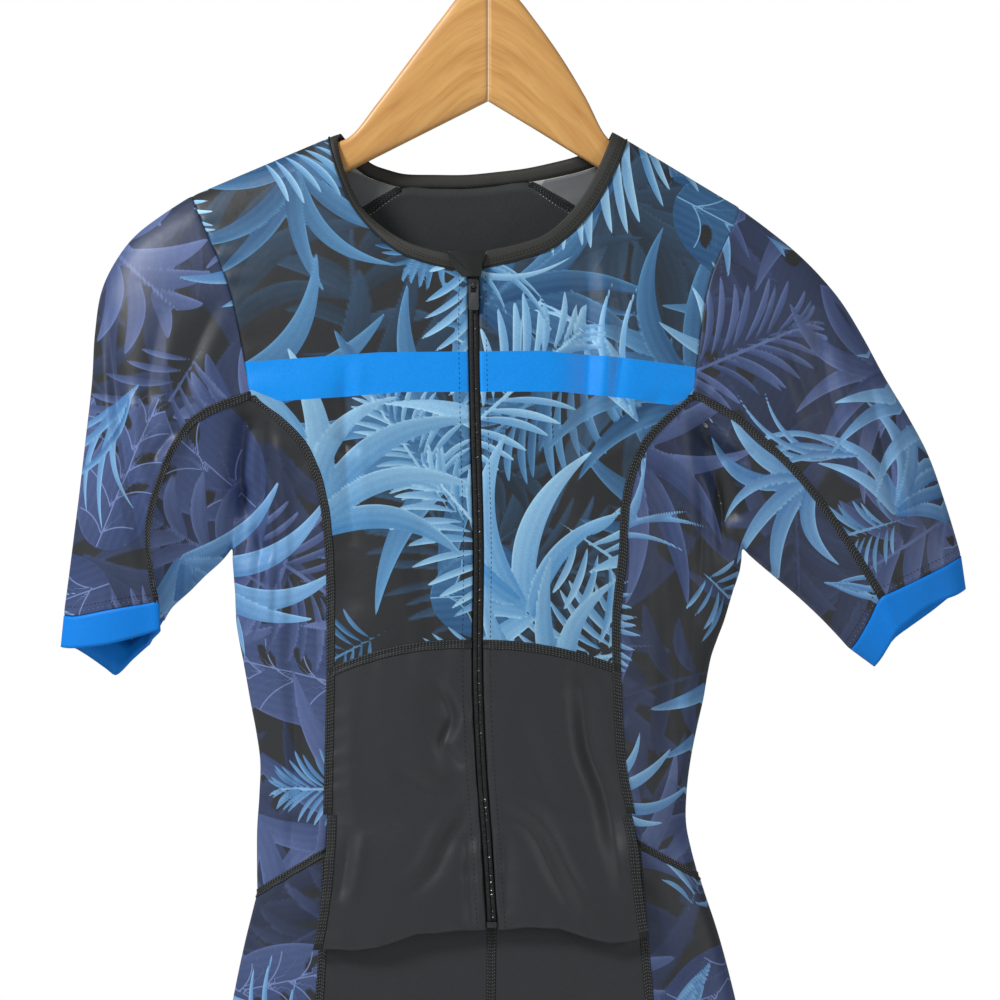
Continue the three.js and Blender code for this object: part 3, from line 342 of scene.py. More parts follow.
def smooth_line(points, at, closed=False):
    """Points of a centripetal Catmull-Rom line. The parameter runs evenly over the given
    points, and each stretch is the cubic through its two ends whose slopes weigh the
    neighbouring stretches by the square root of their lengths."""
    points = np.asarray(points, float)
    count = len(points)
    place = np.asarray(at, float) * (count if closed else count - 1)
    last = count - 1 if closed else count - 2
    stretch = np.clip(np.floor(place + 1e-9).astype(int), 0, last)
    within = (place - stretch).reshape((-1,) + (1,) * (points.ndim - 1))
    if closed:
        ringed = np.concatenate([points[-1:], points, points[:2]])
    else:
        ringed = np.concatenate([[2 * points[0] - points[1]], points, [2 * points[-1] - points[-2]]])
    before, start, end, after = (ringed[stretch + k] for k in range(4))

    def knot(a, b):
        return np.maximum(np.linalg.norm(b - a, axis=-1, keepdims=True), 1e-6) ** 0.5

    k0, k1, k2 = knot(before, start), knot(start, end), knot(end, after)
    leave = ((start - before) / k0 - (end - before) / (k0 + k1) + (end - start) / k1) * k1
    arrive = ((end - start) / k1 - (after - start) / (k1 + k2) + (after - end) / k2) * k1
    square = 3 * (end - start) - 2 * leave - arrive
    cube = 2 * (start - end) + leave + arrive
    return start + within * leave + within ** 2 * square + within ** 3 * cube


def sample(points, steps):
    """A line through points, with a stated number of steps in each stretch."""
    points = np.asarray(points, float)
    counts = [steps] * (len(points) - 1) if isinstance(steps, int) else steps
    parts = [k + np.arange(1, n + 1) / n for k, n in enumerate(counts)]
    return smooth_line(points, np.concatenate([[0], *parts]) / len(counts))


def column(rows, name):
    return np.array([row[name] for row in rows], float)


def length_along(points):
    """Distance run along a line of points, from its first one."""
    steps = np.linalg.norm(np.diff(points, axis=0), axis=-1)
    return np.concatenate([[0], np.cumsum(steps)])


def mean_run(grid, step=1):
    """The mean distance run down a grid's columns, from every few of them."""
    return np.mean([length_along(grid[:, i]) for i in range(0, grid.shape[1], step)], axis=0)


def points_at(line, runs, at):
    """Points of a line at given distances run along it."""
    return np.stack([np.interp(at, runs, line[:, k]) for k in range(3)], -1)


def unit(vectors):
    """Vectors brought to a length of one."""
    return vectors / np.maximum(np.linalg.norm(vectors, axis=-1, keepdims=True), 1e-9)


def round_edge(edge, front, back, radius):
    """Three points round a folded edge: the edge itself, and one in front of it and one
    behind, drawn in by nine tenths of the turn."""
    inward = (front + back) / 2 - edge
    inward[1] = 0
    reach = np.linalg.norm(inward)
    turn = min(radius, 0.3 * reach)
    inward *= turn * 0.9 / reach
    offset = np.array([0, turn, 0])
    return [edge + inward - offset, edge, edge + inward + offset]


def sleeve_section(row):
    points = {name: np.array(place, float) for name, place in row.items()}
    edge = round_edge(points["outer"], points["front"], points["back"], SHOULDER_RADIUS)
    return [points["seam"], points["front"], *edge, points["back"], points["seam_back"]]


def strip_section(row):
    points = {name: np.array(place, float) for name, place in row.items()}
    edge = round_edge(points["under"], points["seam"], points["seam_back"], EDGE_RADIUS)
    return [points["seam"], *edge, points["seam_back"]]


def skin(sections, steps_down, steps_across):
    """A grid through sections: a line down through each numbered point, then a line
    across each level. Rows run down and columns run across."""
    lines = sample(np.array(sections), steps_down)
    return sample(lines.swapaxes(0, 1), steps_across).swapaxes(0, 1)


def side_grids(side):
    table = SIDES[side]
    torso_rows = [table["sleeve"][0], *table["torso"]]
    shorts_rows = [table["torso"][-1], *table["shorts"]]
    return {
        "sleeve": skin([sleeve_section(row) for row in table["sleeve"]], SLEEVE_STEPS, ARMHOLE_STEPS),
        "underarm": skin([strip_section(row) for row in table["sleeve"]], SLEEVE_STEPS, STRIP_STEPS),
        "torso": skin([strip_section(row) for row in torso_rows], STRIP_STEPS, STRIP_STEPS),
        "shorts": skin([strip_section(row) for row in shorts_rows], SHORTS_STEPS, STRIP_STEPS),
    }


def zip_at(heights):
    """The zip's centre line at given heights, on the cloth's outer face."""
    heights = np.asarray(heights, float)
    levels = np.array([row["z"] for row in ZIP_LINE], float)
    points = np.array([[row["x"], row["y"], row["z"]] for row in ZIP_LINE], float)
    place = np.interp(-heights, -levels, np.arange(len(levels)))
    line = smooth_line(points, place / (len(levels) - 1))
    line[:, 2] = heights
    return line


def zip_edge(heights, side):
    line = zip_at(heights)
    line[:, 0] += -ZIP_HALF_OPENING if side == "left" else ZIP_HALF_OPENING
    return line


def between(inner, outer, count, crown):
    """Columns from an inner to an outer edge, bowed forward by a crown's parabola."""
    u = np.linspace(0, 1, count + 1)[None, :, None]
    grid = inner[:, None, :] * (1 - u) + outer[:, None, :] * u
    grid[:, :, 1] -= np.reshape(crown, (-1, 1)) * (4 * u * (1 - u))[:, :, 0]
    return grid


def rise(grid, side, rows):
    """Lifts the waist seam's middle in a parabola, which dies away over some rows."""
    u = np.linspace(0, 1, grid.shape[1])
    fade = 1 - np.minimum(1, np.arange(grid.shape[0]) / rows)
    grid[:, :, 2] += WAIST_RISE[side] * fade[:, None] * 4 * u * (1 - u)
    return grid


def front_upper(side, grids):
    """The printed front, from the yoke seam over the shoulder and down to the waist."""
    waist_row = 5 * STRIP_STEPS
    seam = grids["torso"][:waist_row + 1, 0][::-1]
    armhole = grids["sleeve"][0, 1:sum(ARMHOLE_STEPS[:5]) + 1]
    outer = np.concatenate([seam, armhole])
    low = zip_edge(np.linspace(WAIST_Z, ZIP_CHEST_Z, waist_row + 1), side)
    high = zip_edge(np.linspace(ZIP_CHEST_Z, ZIP_TOP_Z, ARMHOLE_STEPS[0] + 1)[1:-1], side)
    inner = np.concatenate([low, high, sample(column(SIDES[side]["neck"], "outer"), NECK_STEPS)])
    over = np.clip((np.arange(len(inner)) - waist_row - ARMHOLE_STEPS[0]) / 6, 0, 1)
    grid = rise(between(inner, outer, YOKE_COLUMNS, PANEL_CROWN * (1 - over)), side, 5)
    return grid[::-1, ::-1]


def front_lower(side, grids):
    """The plain front below the waist seam, whose hem hangs free of the shorts."""
    start, end = 5 * STRIP_STEPS, 7 * STRIP_STEPS
    seam = grids["torso"][start:end + 1, 0]
    lifted = sample([seam[-1], *column(SIDES[side]["flap"], "seam")], [1, 2, 2])[1:]
    outer = np.concatenate([seam, lifted])
    high = zip_edge(np.linspace(WAIST_Z, FLAP_LIFT_Z, end - start + 1), side)
    low = zip_edge(np.linspace(FLAP_LIFT_Z, HEM_Z, len(lifted) + 1)[1:], side)
    inner = np.concatenate([high, low])
    return rise(between(inner, outer, YOKE_COLUMNS, np.full(len(inner), PANEL_CROWN)), side, 4)[:, ::-1]


def shorts_half(side, face, grids):
    """Half of the shorts' front or back, from the side strip to the centre seam, then
    down the inseam."""
    table = SIDES[side]
    sign = -1 if side == "left" else 1
    deep = -1 if face == "front" else 1
    centre = np.array(CENTRE_FRONT if face == "front" else CENTRE_BACK, float)
    centre[:, 0] += sign * CENTRE_SPLIT
    centre[4, 1] = deep * CENTRE_SPLIT
    hem = np.array(table["inseam"], float)
    hem[1] = deep * CENTRE_SPLIT
    middle = [sign * INSEAM_MIDDLE[0], deep * CENTRE_SPLIT, INSEAM_MIDDLE[1]]
    inner = np.concatenate([sample(centre, [3, 2, 2, 2]), sample([centre[4], middle, hem], [1, 2])[1:]])
    rows = [table["torso"][-1], *table["shorts"]]
    outer = sample(column(rows, "seam" if face == "front" else "seam_back"), SHORTS_STEPS)
    t = np.clip((SEAT_TURN_Z - inner[:, 2]) / (SEAT_TURN_Z - CROTCH_Z), 0, 1)
    low = t * t * (3 - 2 * t)
    beside = inner + (outer - inner) * (0.18 + 0.02 * low)[:, None]
    beside[:, 1] += (deep * SEAT_DEPTH - beside[:, 1]) * low
    return sample(np.array([outer, beside, inner]), HALF_COLUMNS).swapaxes(0, 1)


def back_panel(grids, fronts, backs):
    """The back, between the back armholes and side seams. Straight rows between its two
    edges, plus the top edge's own bow fading down and the bottom edge's fading up."""
    def edge(side):
        armhole = grids[side]["sleeve"][0, -ARMHOLE_STEPS[5] - 1:]
        return np.concatenate([armhole, grids[side]["torso"][1:, -1]])

    def share(row):
        return (row[:, 0] - row[0, 0]) / (row[-1, 0] - row[0, 0])

    def bow(row):
        return row - (row[0] + (row[-1] - row[0]) * share(row)[:, None])

    left, right = edge("left"), edge("right")
    necks = [SIDES["left"]["neck"][-1]["outer"], BACK_NECK["outer"], SIDES["right"]["neck"][-1]["outer"]]
    neck = sample(np.array(necks, float), BACK_NECK_STEPS)[1:-1]
    top = np.concatenate([fronts["left"][0], neck, fronts["right"][0][::-1]])
    bottom = np.concatenate([backs["left"][0], backs["right"][0][::-1][1:]])
    v = np.linspace(0, 1, len(left))[:, None]
    u = share(top) * (1 - v) + share(bottom) * v
    grid = left[:, None] + (right - left)[:, None] * u[:, :, None]
    grid += bow(top) * ((1 - v) ** 2)[:, :, None] + bow(bottom) * (v ** 2)[:, :, None]
    grid[:, :, 1] += BACK_BOW * np.sin(np.pi * v) * 4 * u * (1 - u)
    return grid


def neck_line(name):
    """The binding's inner or outer edge, from the zip's left side round to its right."""
    left = sample(column(SIDES["left"]["neck"], name), NECK_STEPS)
    right = sample(column(SIDES["right"]["neck"], name), NECK_STEPS)[::-1]
    back = sample(np.array([left[-1], BACK_NECK[name], right[0]]), BACK_NECK_STEPS)
    return np.concatenate([left, back[1:-1], right])


def cuff_rings(side, grids):
    row = SIDES[side]["cuff"]
    over = sample(np.array(sleeve_section(row)), ARMHOLE_STEPS)
    under = sample(np.array(strip_section(row)), STRIP_STEPS)
    top = np.concatenate([grids["sleeve"][-1], grids["underarm"][-1][::-1][1:-1]])
    bottom = np.concatenate([over, under[::-1][1:-1]])
    return np.array([top, (top + bottom) / 2, bottom])


def leg_rings(grids, front, back):
    top = np.concatenate([grids["shorts"][-1], back[-1][1:], front[-1][::-1][1:-1]])
    bottom = top - [0, 0, LEG_BAND_DROP]
    return np.array([top, (top + bottom) / 2, bottom])


def fine_stations(lengths, cell, multiple):
    """Even steps of about one cell over a run of lengths, as a multiple of some number,
    given back as places along the coarse points."""
    count = max(1, round(lengths[-1] / cell / multiple)) * multiple
    return np.interp(np.linspace(0, lengths[-1], count + 1), lengths, np.arange(len(lengths)))


def refine(grid, cell, ring=False, multiple=INNER_RATIO):
    """A fine grid on the smooth surface through a coarse one, at even steps down and
    across by the mean length of the coarse columns and rows."""
    grid = smooth_line(grid, fine_stations(mean_run(grid), cell, multiple) / (len(grid) - 1))
    across = grid.swapaxes(0, 1)
    if ring:
        lengths = mean_run(np.concatenate([across, across[:1]]))
        places = fine_stations(lengths, cell, multiple)[:-1] / len(across)
        return smooth_line(across, places, closed=True).swapaxes(0, 1)
    places = fine_stations(mean_run(across), cell, multiple) / (len(across) - 1)
    return smooth_line(across, places).swapaxes(0, 1)


def fold_shape(plane, path, wide, lip=None):
    """How strongly a fold acts at places on a face, from nought to one. It falls off as
    exp(-(distance / half width)^2). With a lip it is a crease: sharper, with a power of
    1.5, with a lip 1.7 half widths beside it, and tapering along its path as a sine to
    the power of 0.75."""
    path = np.array(path, float)
    low, high = plane.min((0, 1)) - 4 * wide, plane.max((0, 1)) + 4 * wide
    if (path.max(0) < low).any() or (path.min(0) > high).any():
        return np.zeros(plane.shape[:-1])
    if len(path) > 2:
        path = sample(path, 4)
    runs = length_along(path)
    nearest = np.full(plane.shape[:-1], np.inf)
    along, hand = np.zeros_like(nearest), np.zeros_like(nearest)
    for k in range(len(path) - 1):
        stretch = path[k + 1] - path[k]
        offset = plane - path[k]
        t = np.clip((offset @ stretch) / (stretch @ stretch), 0, 1)
        away = np.linalg.norm(offset - t[..., None] * stretch, axis=-1)
        closer = away < nearest
        nearest = np.where(closer, away, nearest)
        along = np.where(closer, (runs[k] + t * (runs[k + 1] - runs[k])) / runs[-1], along)
        hand = np.where(closer, offset[..., 1] * stretch[0] - offset[..., 0] * stretch[1], hand)
    if lip is None:
        return np.exp(-(nearest / wide) ** 2)
    aside = nearest * np.sign(hand) * np.sign(lip) / wide
    shape = np.exp(-(nearest / wide) ** 1.5) - abs(lip) * np.exp(-(aside - 1.7) ** 2)
    return shape * np.sin(np.pi * np.clip(along, 0.001, 0.999)) ** 0.75


def sink(points, folds):
    """How far folds move the cloth along Y: the sum of their depths times their shapes.
    They fade where the cloth turns edge on, near the suit's middle plane."""
    total = np.zeros(points.shape[:-1])
    for face, sign in (("front", 1), ("back", -1)):
        hold = np.clip((-sign * points[..., 1] - EDGE_ON) / FOLD_FADE, 0, 1)
        hold = sign * hold * hold * (3 - 2 * hold)
        for path, deep, *width_and_lip in folds[face]:
            total += deep * fold_shape(points[..., [0, 2]], path, *width_and_lip) * hold
    return total


def waves(runs, rng):
    """Uneven waves along a seam: the mean of four sines 11 to 27 mm long."""
    lengths = rng.uniform(11, 27, 4)[:, None]
    phases = rng.uniform(0, 2 * math.pi, 4)[:, None]
    return np.sin(2 * math.pi * runs / lengths + phases).mean(0)


# Sewing: how far in from an edge its waves reach and are held down, then how deep a seam
# draws the edge in and how far this reaches
PUCKER_REACH = 7
PUCKER_HOLD = 2.5
SEAM_DEPTH = 0.5
SEAM_REACH = 1.3


def pucker(grid, seed):
    """How far sewing moves the cloth along its normals: waves that fade away from each
    edge as exp(-distance / reach), with every edge itself drawn in."""
    rng = np.random.default_rng(seed)
    down, across = mean_run(grid, 6), mean_run(grid.swapaxes(0, 1), 6)
    from_edges = [down[:, None], (down[-1] - down)[:, None], across[None], (across[-1] - across)[None]]
    total = np.zeros(grid.shape[:2])
    for k, distance in enumerate(from_edges):
        wave = waves(across, rng)[None] if k < 2 else waves(down, rng)[:, None]
        total = total + wave * np.exp(-distance / PUCKER_REACH)
    for distance in from_edges:
        total = total * (1 - np.exp(-distance / PUCKER_HOLD))
    for distance in from_edges:
        total = total - SEAM_DEPTH * np.exp(-distance / SEAM_REACH)
    return total


def settle(grid, seed=None):
    """The cloth with its large folds and small creases pressed in, and then its seams."""
    settled = grid.copy()
    settled[..., 1] += sink(grid, FOLDS) + sink(grid, CREASES)
    if seed is not None:
        settled += pucker(settled, seed)[..., None] * grid_normals(settled)
    return settled


def grid_normals(grid, ring=False):
    """Outward normals: the direction down crossed with the direction across."""
    down = np.gradient(grid, axis=0)
    if ring:
        across = np.roll(grid, -1, axis=1) - np.roll(grid, 1, axis=1)
    else:
        across = np.gradient(grid, axis=1)
    return unit(np.cross(down, across))


def make_mesh(name, points, quads, triangles=(), flat=0, second=None):
    """A mesh object from points in millimetres. The last `flat` faces are shaded flat, and
    `second` is the range of faces that take the second material."""
    faces = np.asarray(quads, int).reshape(-1, 4).tolist() + [list(t) for t in np.asarray(triangles, int)]
    mesh = bpy.data.meshes.new(name)
    mesh.from_pydata((np.asarray(points) * MM).tolist(), [], faces)
    smooth = np.ones(len(faces), bool)
    if flat:
        smooth[-flat:] = False
    mesh.polygons.foreach_set("use_smooth", smooth)
    if second:
        slots = np.zeros(len(faces), np.int32)
        slots[second[0]:second[1]] = 1
        mesh.polygons.foreach_set("material_index", slots)
    mesh.update()
    made = bpy.data.objects.new(name, mesh)
    bpy.context.scene.collection.objects.link(made)
    return made


def grid_quads(rows, columns, ring=False, first=0):
    """Quads of a grid, wound so that down x across points out of their faces."""
    j, i = np.mgrid[0:rows - 1, 0:(columns if ring else columns - 1)]
    right = (i + 1) % columns
    corners = [j * columns + i, (j + 1) * columns + i, (j + 1) * columns + right, j * columns + right]
    return np.stack(corners, axis=-1).reshape(-1, 4) + first


def rim_triangles(outer_loop, inner_loop, ratio):
    """Fans that join a fine edge to a coarse one with one point for every few."""
    inner = np.asarray(inner_loop)
    after = np.roll(inner, -1)
    fine = np.asarray(outer_loop).reshape(-1, ratio)
    fine = np.concatenate([fine, np.roll(fine[:, :1], -1, axis=0)], axis=1)
    turn = (ratio + 1) // 2
    fans = [np.stack([fine[:, k], fine[:, k + 1], inner if k < turn else after], 1) for k in range(ratio)]
    fans.append(np.stack([inner, fine[:, turn], after], 1))
    return np.concatenate(fans)


def edge_loops(rows, columns, ratio, ring, first_inner):
    """The fine grid's edge loops and the coarse grid's, in step with each other."""
    few_rows = (rows - 1) // ratio + 1
    few_columns = columns // ratio if ring else (columns - 1) // ratio + 1
    fine = np.arange(rows * columns).reshape(rows, columns)
    coarse = np.arange(few_rows * few_columns).reshape(few_rows, few_columns) + first_inner
    if ring:
        def back(loop, shift):
            return np.roll(loop[::-1], shift)
        return [(fine[0], coarse[0]), (back(fine[-1], 1), back(coarse[-1], 1))]

    def round_it(grid):
        return np.concatenate([grid[0, :-1], grid[:-1, -1], grid[-1, :0:-1], grid[:0:-1, 0]])
    return [(round_it(fine), round_it(coarse))]


def cloth_shell(name, grid, ring=False, thick=WALL, ratio=INNER_RATIO):
    """A closed thin shell: the fine grid outside, a coarser one inside it by the wall's
    thickness along the normals, and fans round the rim. Writes a map of the cloth's own
    directions in metres."""
    rows, columns = grid.shape[:2]
    normals = grid_normals(grid, ring)
    inner = (grid - thick * normals)[::ratio, ::ratio]
    points = np.concatenate([grid.reshape(-1, 3), inner.reshape(-1, 3)])
    outside = grid_quads(rows, columns, ring)
    inside = grid_quads(*inner.shape[:2], ring, rows * columns)[:, ::-1]
    loops = edge_loops(rows, columns, ratio, ring, rows * columns)
    rims = np.concatenate([rim_triangles(fine, coarse, ratio) for fine, coarse in loops])
    quads = np.concatenate([outside, inside])
    span = (len(outside), len(outside) + len(inside))
    made = make_mesh(name, points, quads, rims, flat=len(rims), second=span)
    cloth = np.stack(np.meshgrid(mean_run(grid.swapaxes(0, 1), 8), mean_run(grid, 8)), -1)
    flat_points = np.concatenate([cloth.reshape(-1, 2), cloth[::ratio, ::ratio].reshape(-1, 2)]) * MM
    corners = np.empty(len(made.data.loops), np.int32)
    made.data.loops.foreach_get("vertex_index", corners)
    made.data.uv_layers.new(name="cloth").data.foreach_set("uv", flat_points[corners].ravel())
    return made


def linear(code):
    """A colour code as linear red, green and blue: each channel by the sRGB curve."""
    channels = [int(code[k:k + 2], 16) / 255 for k in (1, 3, 5)]
    return np.array([c / 12.92 if c <= 0.04045 else ((c + 0.055) / 1.055) ** 2.4 for c in channels])


# Leaf colours of a print layer, from the shaded end of a leaf to its lit end
PALETTES = {
    "front": {"ground": "#2b2d30", "shade": ("#28333f", "#3a5875"), "leaf": ("#244d78", "#639ccb"),
              "lit": ("#4789c0", "#aadaf8")},
    "side": {"ground": "#2e3134", "shade": ("#2c3448", "#404e74"), "leaf": ("#33426b", "#6577a8"),
             "lit": ("#3a6ea8", "#8cbfea")},
}

# Kinds of motif. Pairs of blades, their length and half width as shares of the motif's
# reach, how far they lean from the rib at its foot and its tip in degrees, their bow,
# and where a blade is widest.
MOTIFS = {
    "frond": {"pairs": 14, "length": 0.44, "half": 0.021, "lean": (76, 24), "bow": 0.07, "widest": 0.55},
    "split": {"pairs": 6, "length": 0.5, "half": 0.055, "lean": (84, 30), "bow": 0.1, "widest": 0.4},
    "agave": {"pairs": 4, "length": 0.95, "half": 0.066, "lean": (104, 12), "bow": 0.16, "widest": 0.28},
    "grass": {"pairs": 3, "length": 1.0, "half": 0.024, "lean": (30, 8), "bow": 0.16, "widest": 0.35},
    "broad": {"pairs": 5, "length": 0.3, "half": 0.0045, "lean": (60, 42), "bow": 0.14, "widest": 0.4},
}

# Layers of a print, from the back: its colours, the mean spacing and reach of its motifs
# in millimetres, how many places stay empty, and the kinds that it draws from
LAYERS = {
    "front": [
        {"name": "shade", "spacing": 70, "reach": (95, 150), "empty": 0.4,
         "kinds": ("split", "frond", "agave")},
        {"name": "leaf", "spacing": 70, "reach": (85, 140), "empty": 0.4,
         "kinds": ("broad", "agave", "frond", "agave")},
        {"name": "lit", "spacing": 80, "reach": (75, 140), "empty": 0.38,
         "kinds": ("frond", "agave", "grass", "frond")},
    ],
    "side": [
        {"name": "shade", "spacing": 64, "reach": (90, 140), "empty": 0.3,
         "kinds": ("broad", "split", "agave")},
        {"name": "leaf", "spacing": 72, "reach": (80, 140), "empty": 0.38,
         "kinds": ("broad", "agave", "split", "frond")},
        {"name": "lit", "spacing": 84, "reach": (60, 105), "empty": 0.45,
         "kinds": ("frond", "agave", "grass")},
    ],
}
EMPTY_EDGE = -40.0
VEIN_TONE = 2.0
NO_VEIN = 40.0
STREAK_TONE = 0.045
STREAK_PITCH = 5.0


def motif_blades(kind, at, heading, reach, rng):
    """Blades of one motif as arrays: foot, tip, half width, bow and tone. A frond's feet
    run along a bent rib, and an agave's and a grass tuft's stand together at one place.
    A broad leaf is one wide blade with fine veins, and with dark slits between them."""
    shape = MOTIFS[kind]
    pairs = shape["pairs"]
    s = (np.arange(pairs) + 0.5) / pairs
    forward = np.array([math.cos(heading), math.sin(heading)])
    aside = np.array([-forward[1], forward[0]])
    rib_bow = rng.uniform(-0.16, 0.16) * reach
    gathered = kind in ("agave", "grass")
    run = s * (0.14 if gathered else 0.92)
    feet = at + reach * run[:, None] * forward + rib_bow * (run * run)[:, None] * aside
    lean = np.radians(shape["lean"][0] + (shape["lean"][1] - shape["lean"][0]) * s)
    swell = 0.75 + 0.25 * np.sin(np.pi * s) if gathered else np.sin(np.pi * (0.16 + 0.78 * s)) ** 0.7
    blades = []
    for hand in (-1, 1):
        turn = heading + hand * lean * rng.uniform(0.9, 1.1) + rng.normal(0, 0.05, pairs)
        length = reach * shape["length"] * swell * rng.uniform(0.88, 1.08, pairs)
        out = np.stack([np.cos(turn), np.sin(turn)], -1)
        tips = feet + length[:, None] * out
        half = reach * shape["half"] * np.sqrt(length / length.max()) * rng.uniform(0.85, 1.12, pairs)
        bows = -hand * shape["bow"] * length * rng.uniform(0.5, 1.4, pairs)
        tones = np.clip(rng.normal(0.42 if hand < 0 else 0.6, 0.14, pairs), 0.1, 0.95)
        if kind == "broad":
            half, tones = np.ones(pairs), np.full(pairs, VEIN_TONE)
            for k in np.flatnonzero(rng.uniform(size=pairs) < 0.45):
                middle = feet[k] + forward * reach * 0.07 + out[k] * length[k] * 0.55
                reached = out[k] * length[k] * 0.28
                blades.append((middle - reached, middle + reached, 0.034 * reach, 0.0, -1.0))
        blades += [(feet[k], tips[k], half[k], bows[k], tones[k]) for k in range(pairs)]
    order = rng.permutation(len(blades)) if gathered else np.arange(len(blades))
    rib_tip = at + reach * forward + rib_bow * aside
    rib = (at - 0.12 * reach * forward, rib_tip, max(0.85, 0.009 * reach), 0.0, 1.0)
    blades = [blades[k] for k in order] + ([] if gathered else [rib])
    if kind == "broad":
        blades[-1] = (at, rib_tip, 1.0, 0.0, VEIN_TONE)
        blades.insert(0, (at, rib_tip, 0.26 * reach, 0.0, 0.4))
    return blades


def blade_field(places, foot, tip, half, bow, widest):
    """How far places are inside a blade's outline, in millimetres, and where they are
    along it and across it. The outline swells as a^p (1-a)^q about a bowed middle line."""
    axis = tip - foot
    length = max(np.linalg.norm(axis), 1e-6)
    unit = axis / length
    offset = places - foot
    along = offset @ unit
    a = np.clip(along / length, 0, 1)
    across = offset @ np.array([-unit[1], unit[0]]) - bow * 4 * a * (1 - a)
    q = 0.75
    p = q * widest / (1 - widest)
    swell = a ** p * (1 - a) ** q / (widest ** p * (1 - widest) ** q)
    beyond = np.maximum(np.maximum(-along, along - length), 0)
    return half * swell - np.abs(across) - beyond, a, across / max(half, 1e-6)


def paint_layer(places, layer, palette, rng):
    """Colours, signed edge distances and signed distances across the nearest vein, of one
    layer of leaves over some places, by the painter's order. Past an outline the nearest
    leaf's colour carries on, so that the edge can be drawn sharply between the points."""
    low, high = places.min(0) - 40, places.max(0) + 40
    dark, light = (linear(code) for code in palette[layer["name"]])
    ground = linear(palette["ground"])
    edge = np.full(len(places), EMPTY_EDGE)
    vein = np.full(len(places), NO_VEIN)
    tint = np.tile(dark, (len(places), 1))
    steps = np.maximum(np.ceil((high - low) / layer["spacing"]).astype(int), 1)
    cells = [(i, j) for i in range(steps[0]) for j in range(steps[1])]
    for cell in rng.permutation(len(cells)):
        i, j = cells[cell]
        jitter = rng.uniform(-0.45, 0.45, 2)
        kind = layer["kinds"][rng.integers(len(layer["kinds"]))]
        heading = rng.uniform(0, 2 * math.pi)
        reach = rng.uniform(*layer["reach"])
        at = low + (np.array([i, j]) + 0.5 + jitter) * layer["spacing"]
        at = at - 0.45 * reach * np.array([math.cos(heading), math.sin(heading)])
        blades = motif_blades(kind, at, heading, reach, rng)
        if rng.uniform() < layer["empty"]:
            continue
        near = np.flatnonzero(np.linalg.norm(places - at, axis=1) < 1.45 * reach)
        if len(near) == 0:
            continue
        here = places[near]
        fades = 0.82 + 0.18 * rng.uniform()
        for foot, tip, half, bow, tone in blades:
            inside, a, across = blade_field(here, foot, tip, half, bow, MOTIFS[kind]["widest"])
            here_edge = edge[near]
            if tone == VEIN_TONE:
                on_leaf = (here_edge > 0) & (a > 0) & (a < 1) & (np.abs(across) < np.abs(vein[near]))
                vein[near[on_leaf]] = across[on_leaf]
                continue
            covers = inside > 0
            nearest = ~covers & (here_edge <= 0) & (inside > here_edge)
            share = tone * (0.4 + 0.7 * a) + 0.15 * np.clip(across, -1, 1)
            share = share + STREAK_TONE * np.sin(across * half * (2 * math.pi / STREAK_PITCH) + 40 * tone)
            share = share + 0.5 * np.exp(-np.maximum(inside, 0) / 0.7) * (across > 0) * (half > 1.5)
            leaf = (dark + (light - dark) * np.clip(share, 0, 1.1)[:, None]) * fades
            if tone < 0:
                leaf = np.tile(ground, (len(near), 1))
            chosen = covers | nearest
            tint[near[chosen]] = leaf[chosen]
            vein[near[chosen]] = NO_VEIN
            edge[near] = np.where(covers, inside, np.where(nearest, inside, np.minimum(here_edge, -inside)))
    return tint, edge, vein


def unfold(grid, fold_column):
    """Places on a flat plane for a panel that wraps from front to back: the front as it
    is seen, and the back turned over about the fold's line at its own level."""
    plane = grid[..., [0, 2]]
    fold = plane[:, fold_column]
    line = unit(np.gradient(fold, axis=0))
    offset = plane - fold[:, None]
    along = (offset * line[:, None]).sum(-1, keepdims=True)
    turned = fold[:, None] + 2 * along * line[:, None] - offset
    behind = np.arange(grid.shape[1]) > fold_column
    if grid[:, 0, 1].mean() > grid[:, -1, 1].mean():
        behind = np.arange(grid.shape[1]) < fold_column
    return np.where(behind[None, :, None], turned, plane)


def over_shoulder(grid):
    """Places on a flat plane for a front that runs on over the shoulder: each column's
    part behind its highest point is turned up over that point."""
    plane = grid[..., [0, 2]].copy()
    ridges = plane[..., 1].argmax(axis=0)
    for i, ridge in enumerate(ridges):
        plane[:ridge, i, 1] = 2 * plane[ridge, i, 1] - plane[:ridge, i, 1]
    return plane


def print_leaves(made, places, palette_name, seed, band=None):
    """Writes a print's layers onto a shell's points: leaf colours, and signed distances
    to the leaves' outlines and to the chest band's in millimetres."""
    palette = PALETTES[palette_name]
    shade, *layers = LAYERS[palette_name]
    rng = np.random.default_rng(seed)
    count, flat = len(made.data.vertices), places.reshape(-1, 2)
    ground = np.tile(linear(palette["ground"]), (len(flat), 1))
    tint, edge, vein = paint_layer(flat, shade, palette, rng)
    share = np.clip(edge / 0.8 + 0.5, 0, 1)[:, None]
    write_tint(made, "ground_tint", ground * (1 - share) + tint * share, count)
    for layer in layers:
        tint, edge, vein = paint_layer(flat, layer, palette, rng)
        write_tint(made, layer["name"] + "_tint", tint, count)
        write_number(made, layer["name"] + "_vein", vein, count)
        write_number(made, layer["name"] + "_edge", edge, count)
    write_number(made, "band_edge", np.full(len(flat), EMPTY_EDGE) if band is None else band.ravel(), count)


def write_tint(made, name, values, count):
    data = np.ones((count, 4), np.float32)
    data[:len(values), :3] = values
    made.data.attributes.new(name, "FLOAT_COLOR", "POINT").data.foreach_set("color", data.ravel())


def write_number(made, name, values, count):
    data = np.full(count, EMPTY_EDGE, np.float32)
    data[:len(values)] = values
    made.data.attributes.new(name, "FLOAT", "POINT").data.foreach_set("value", data)


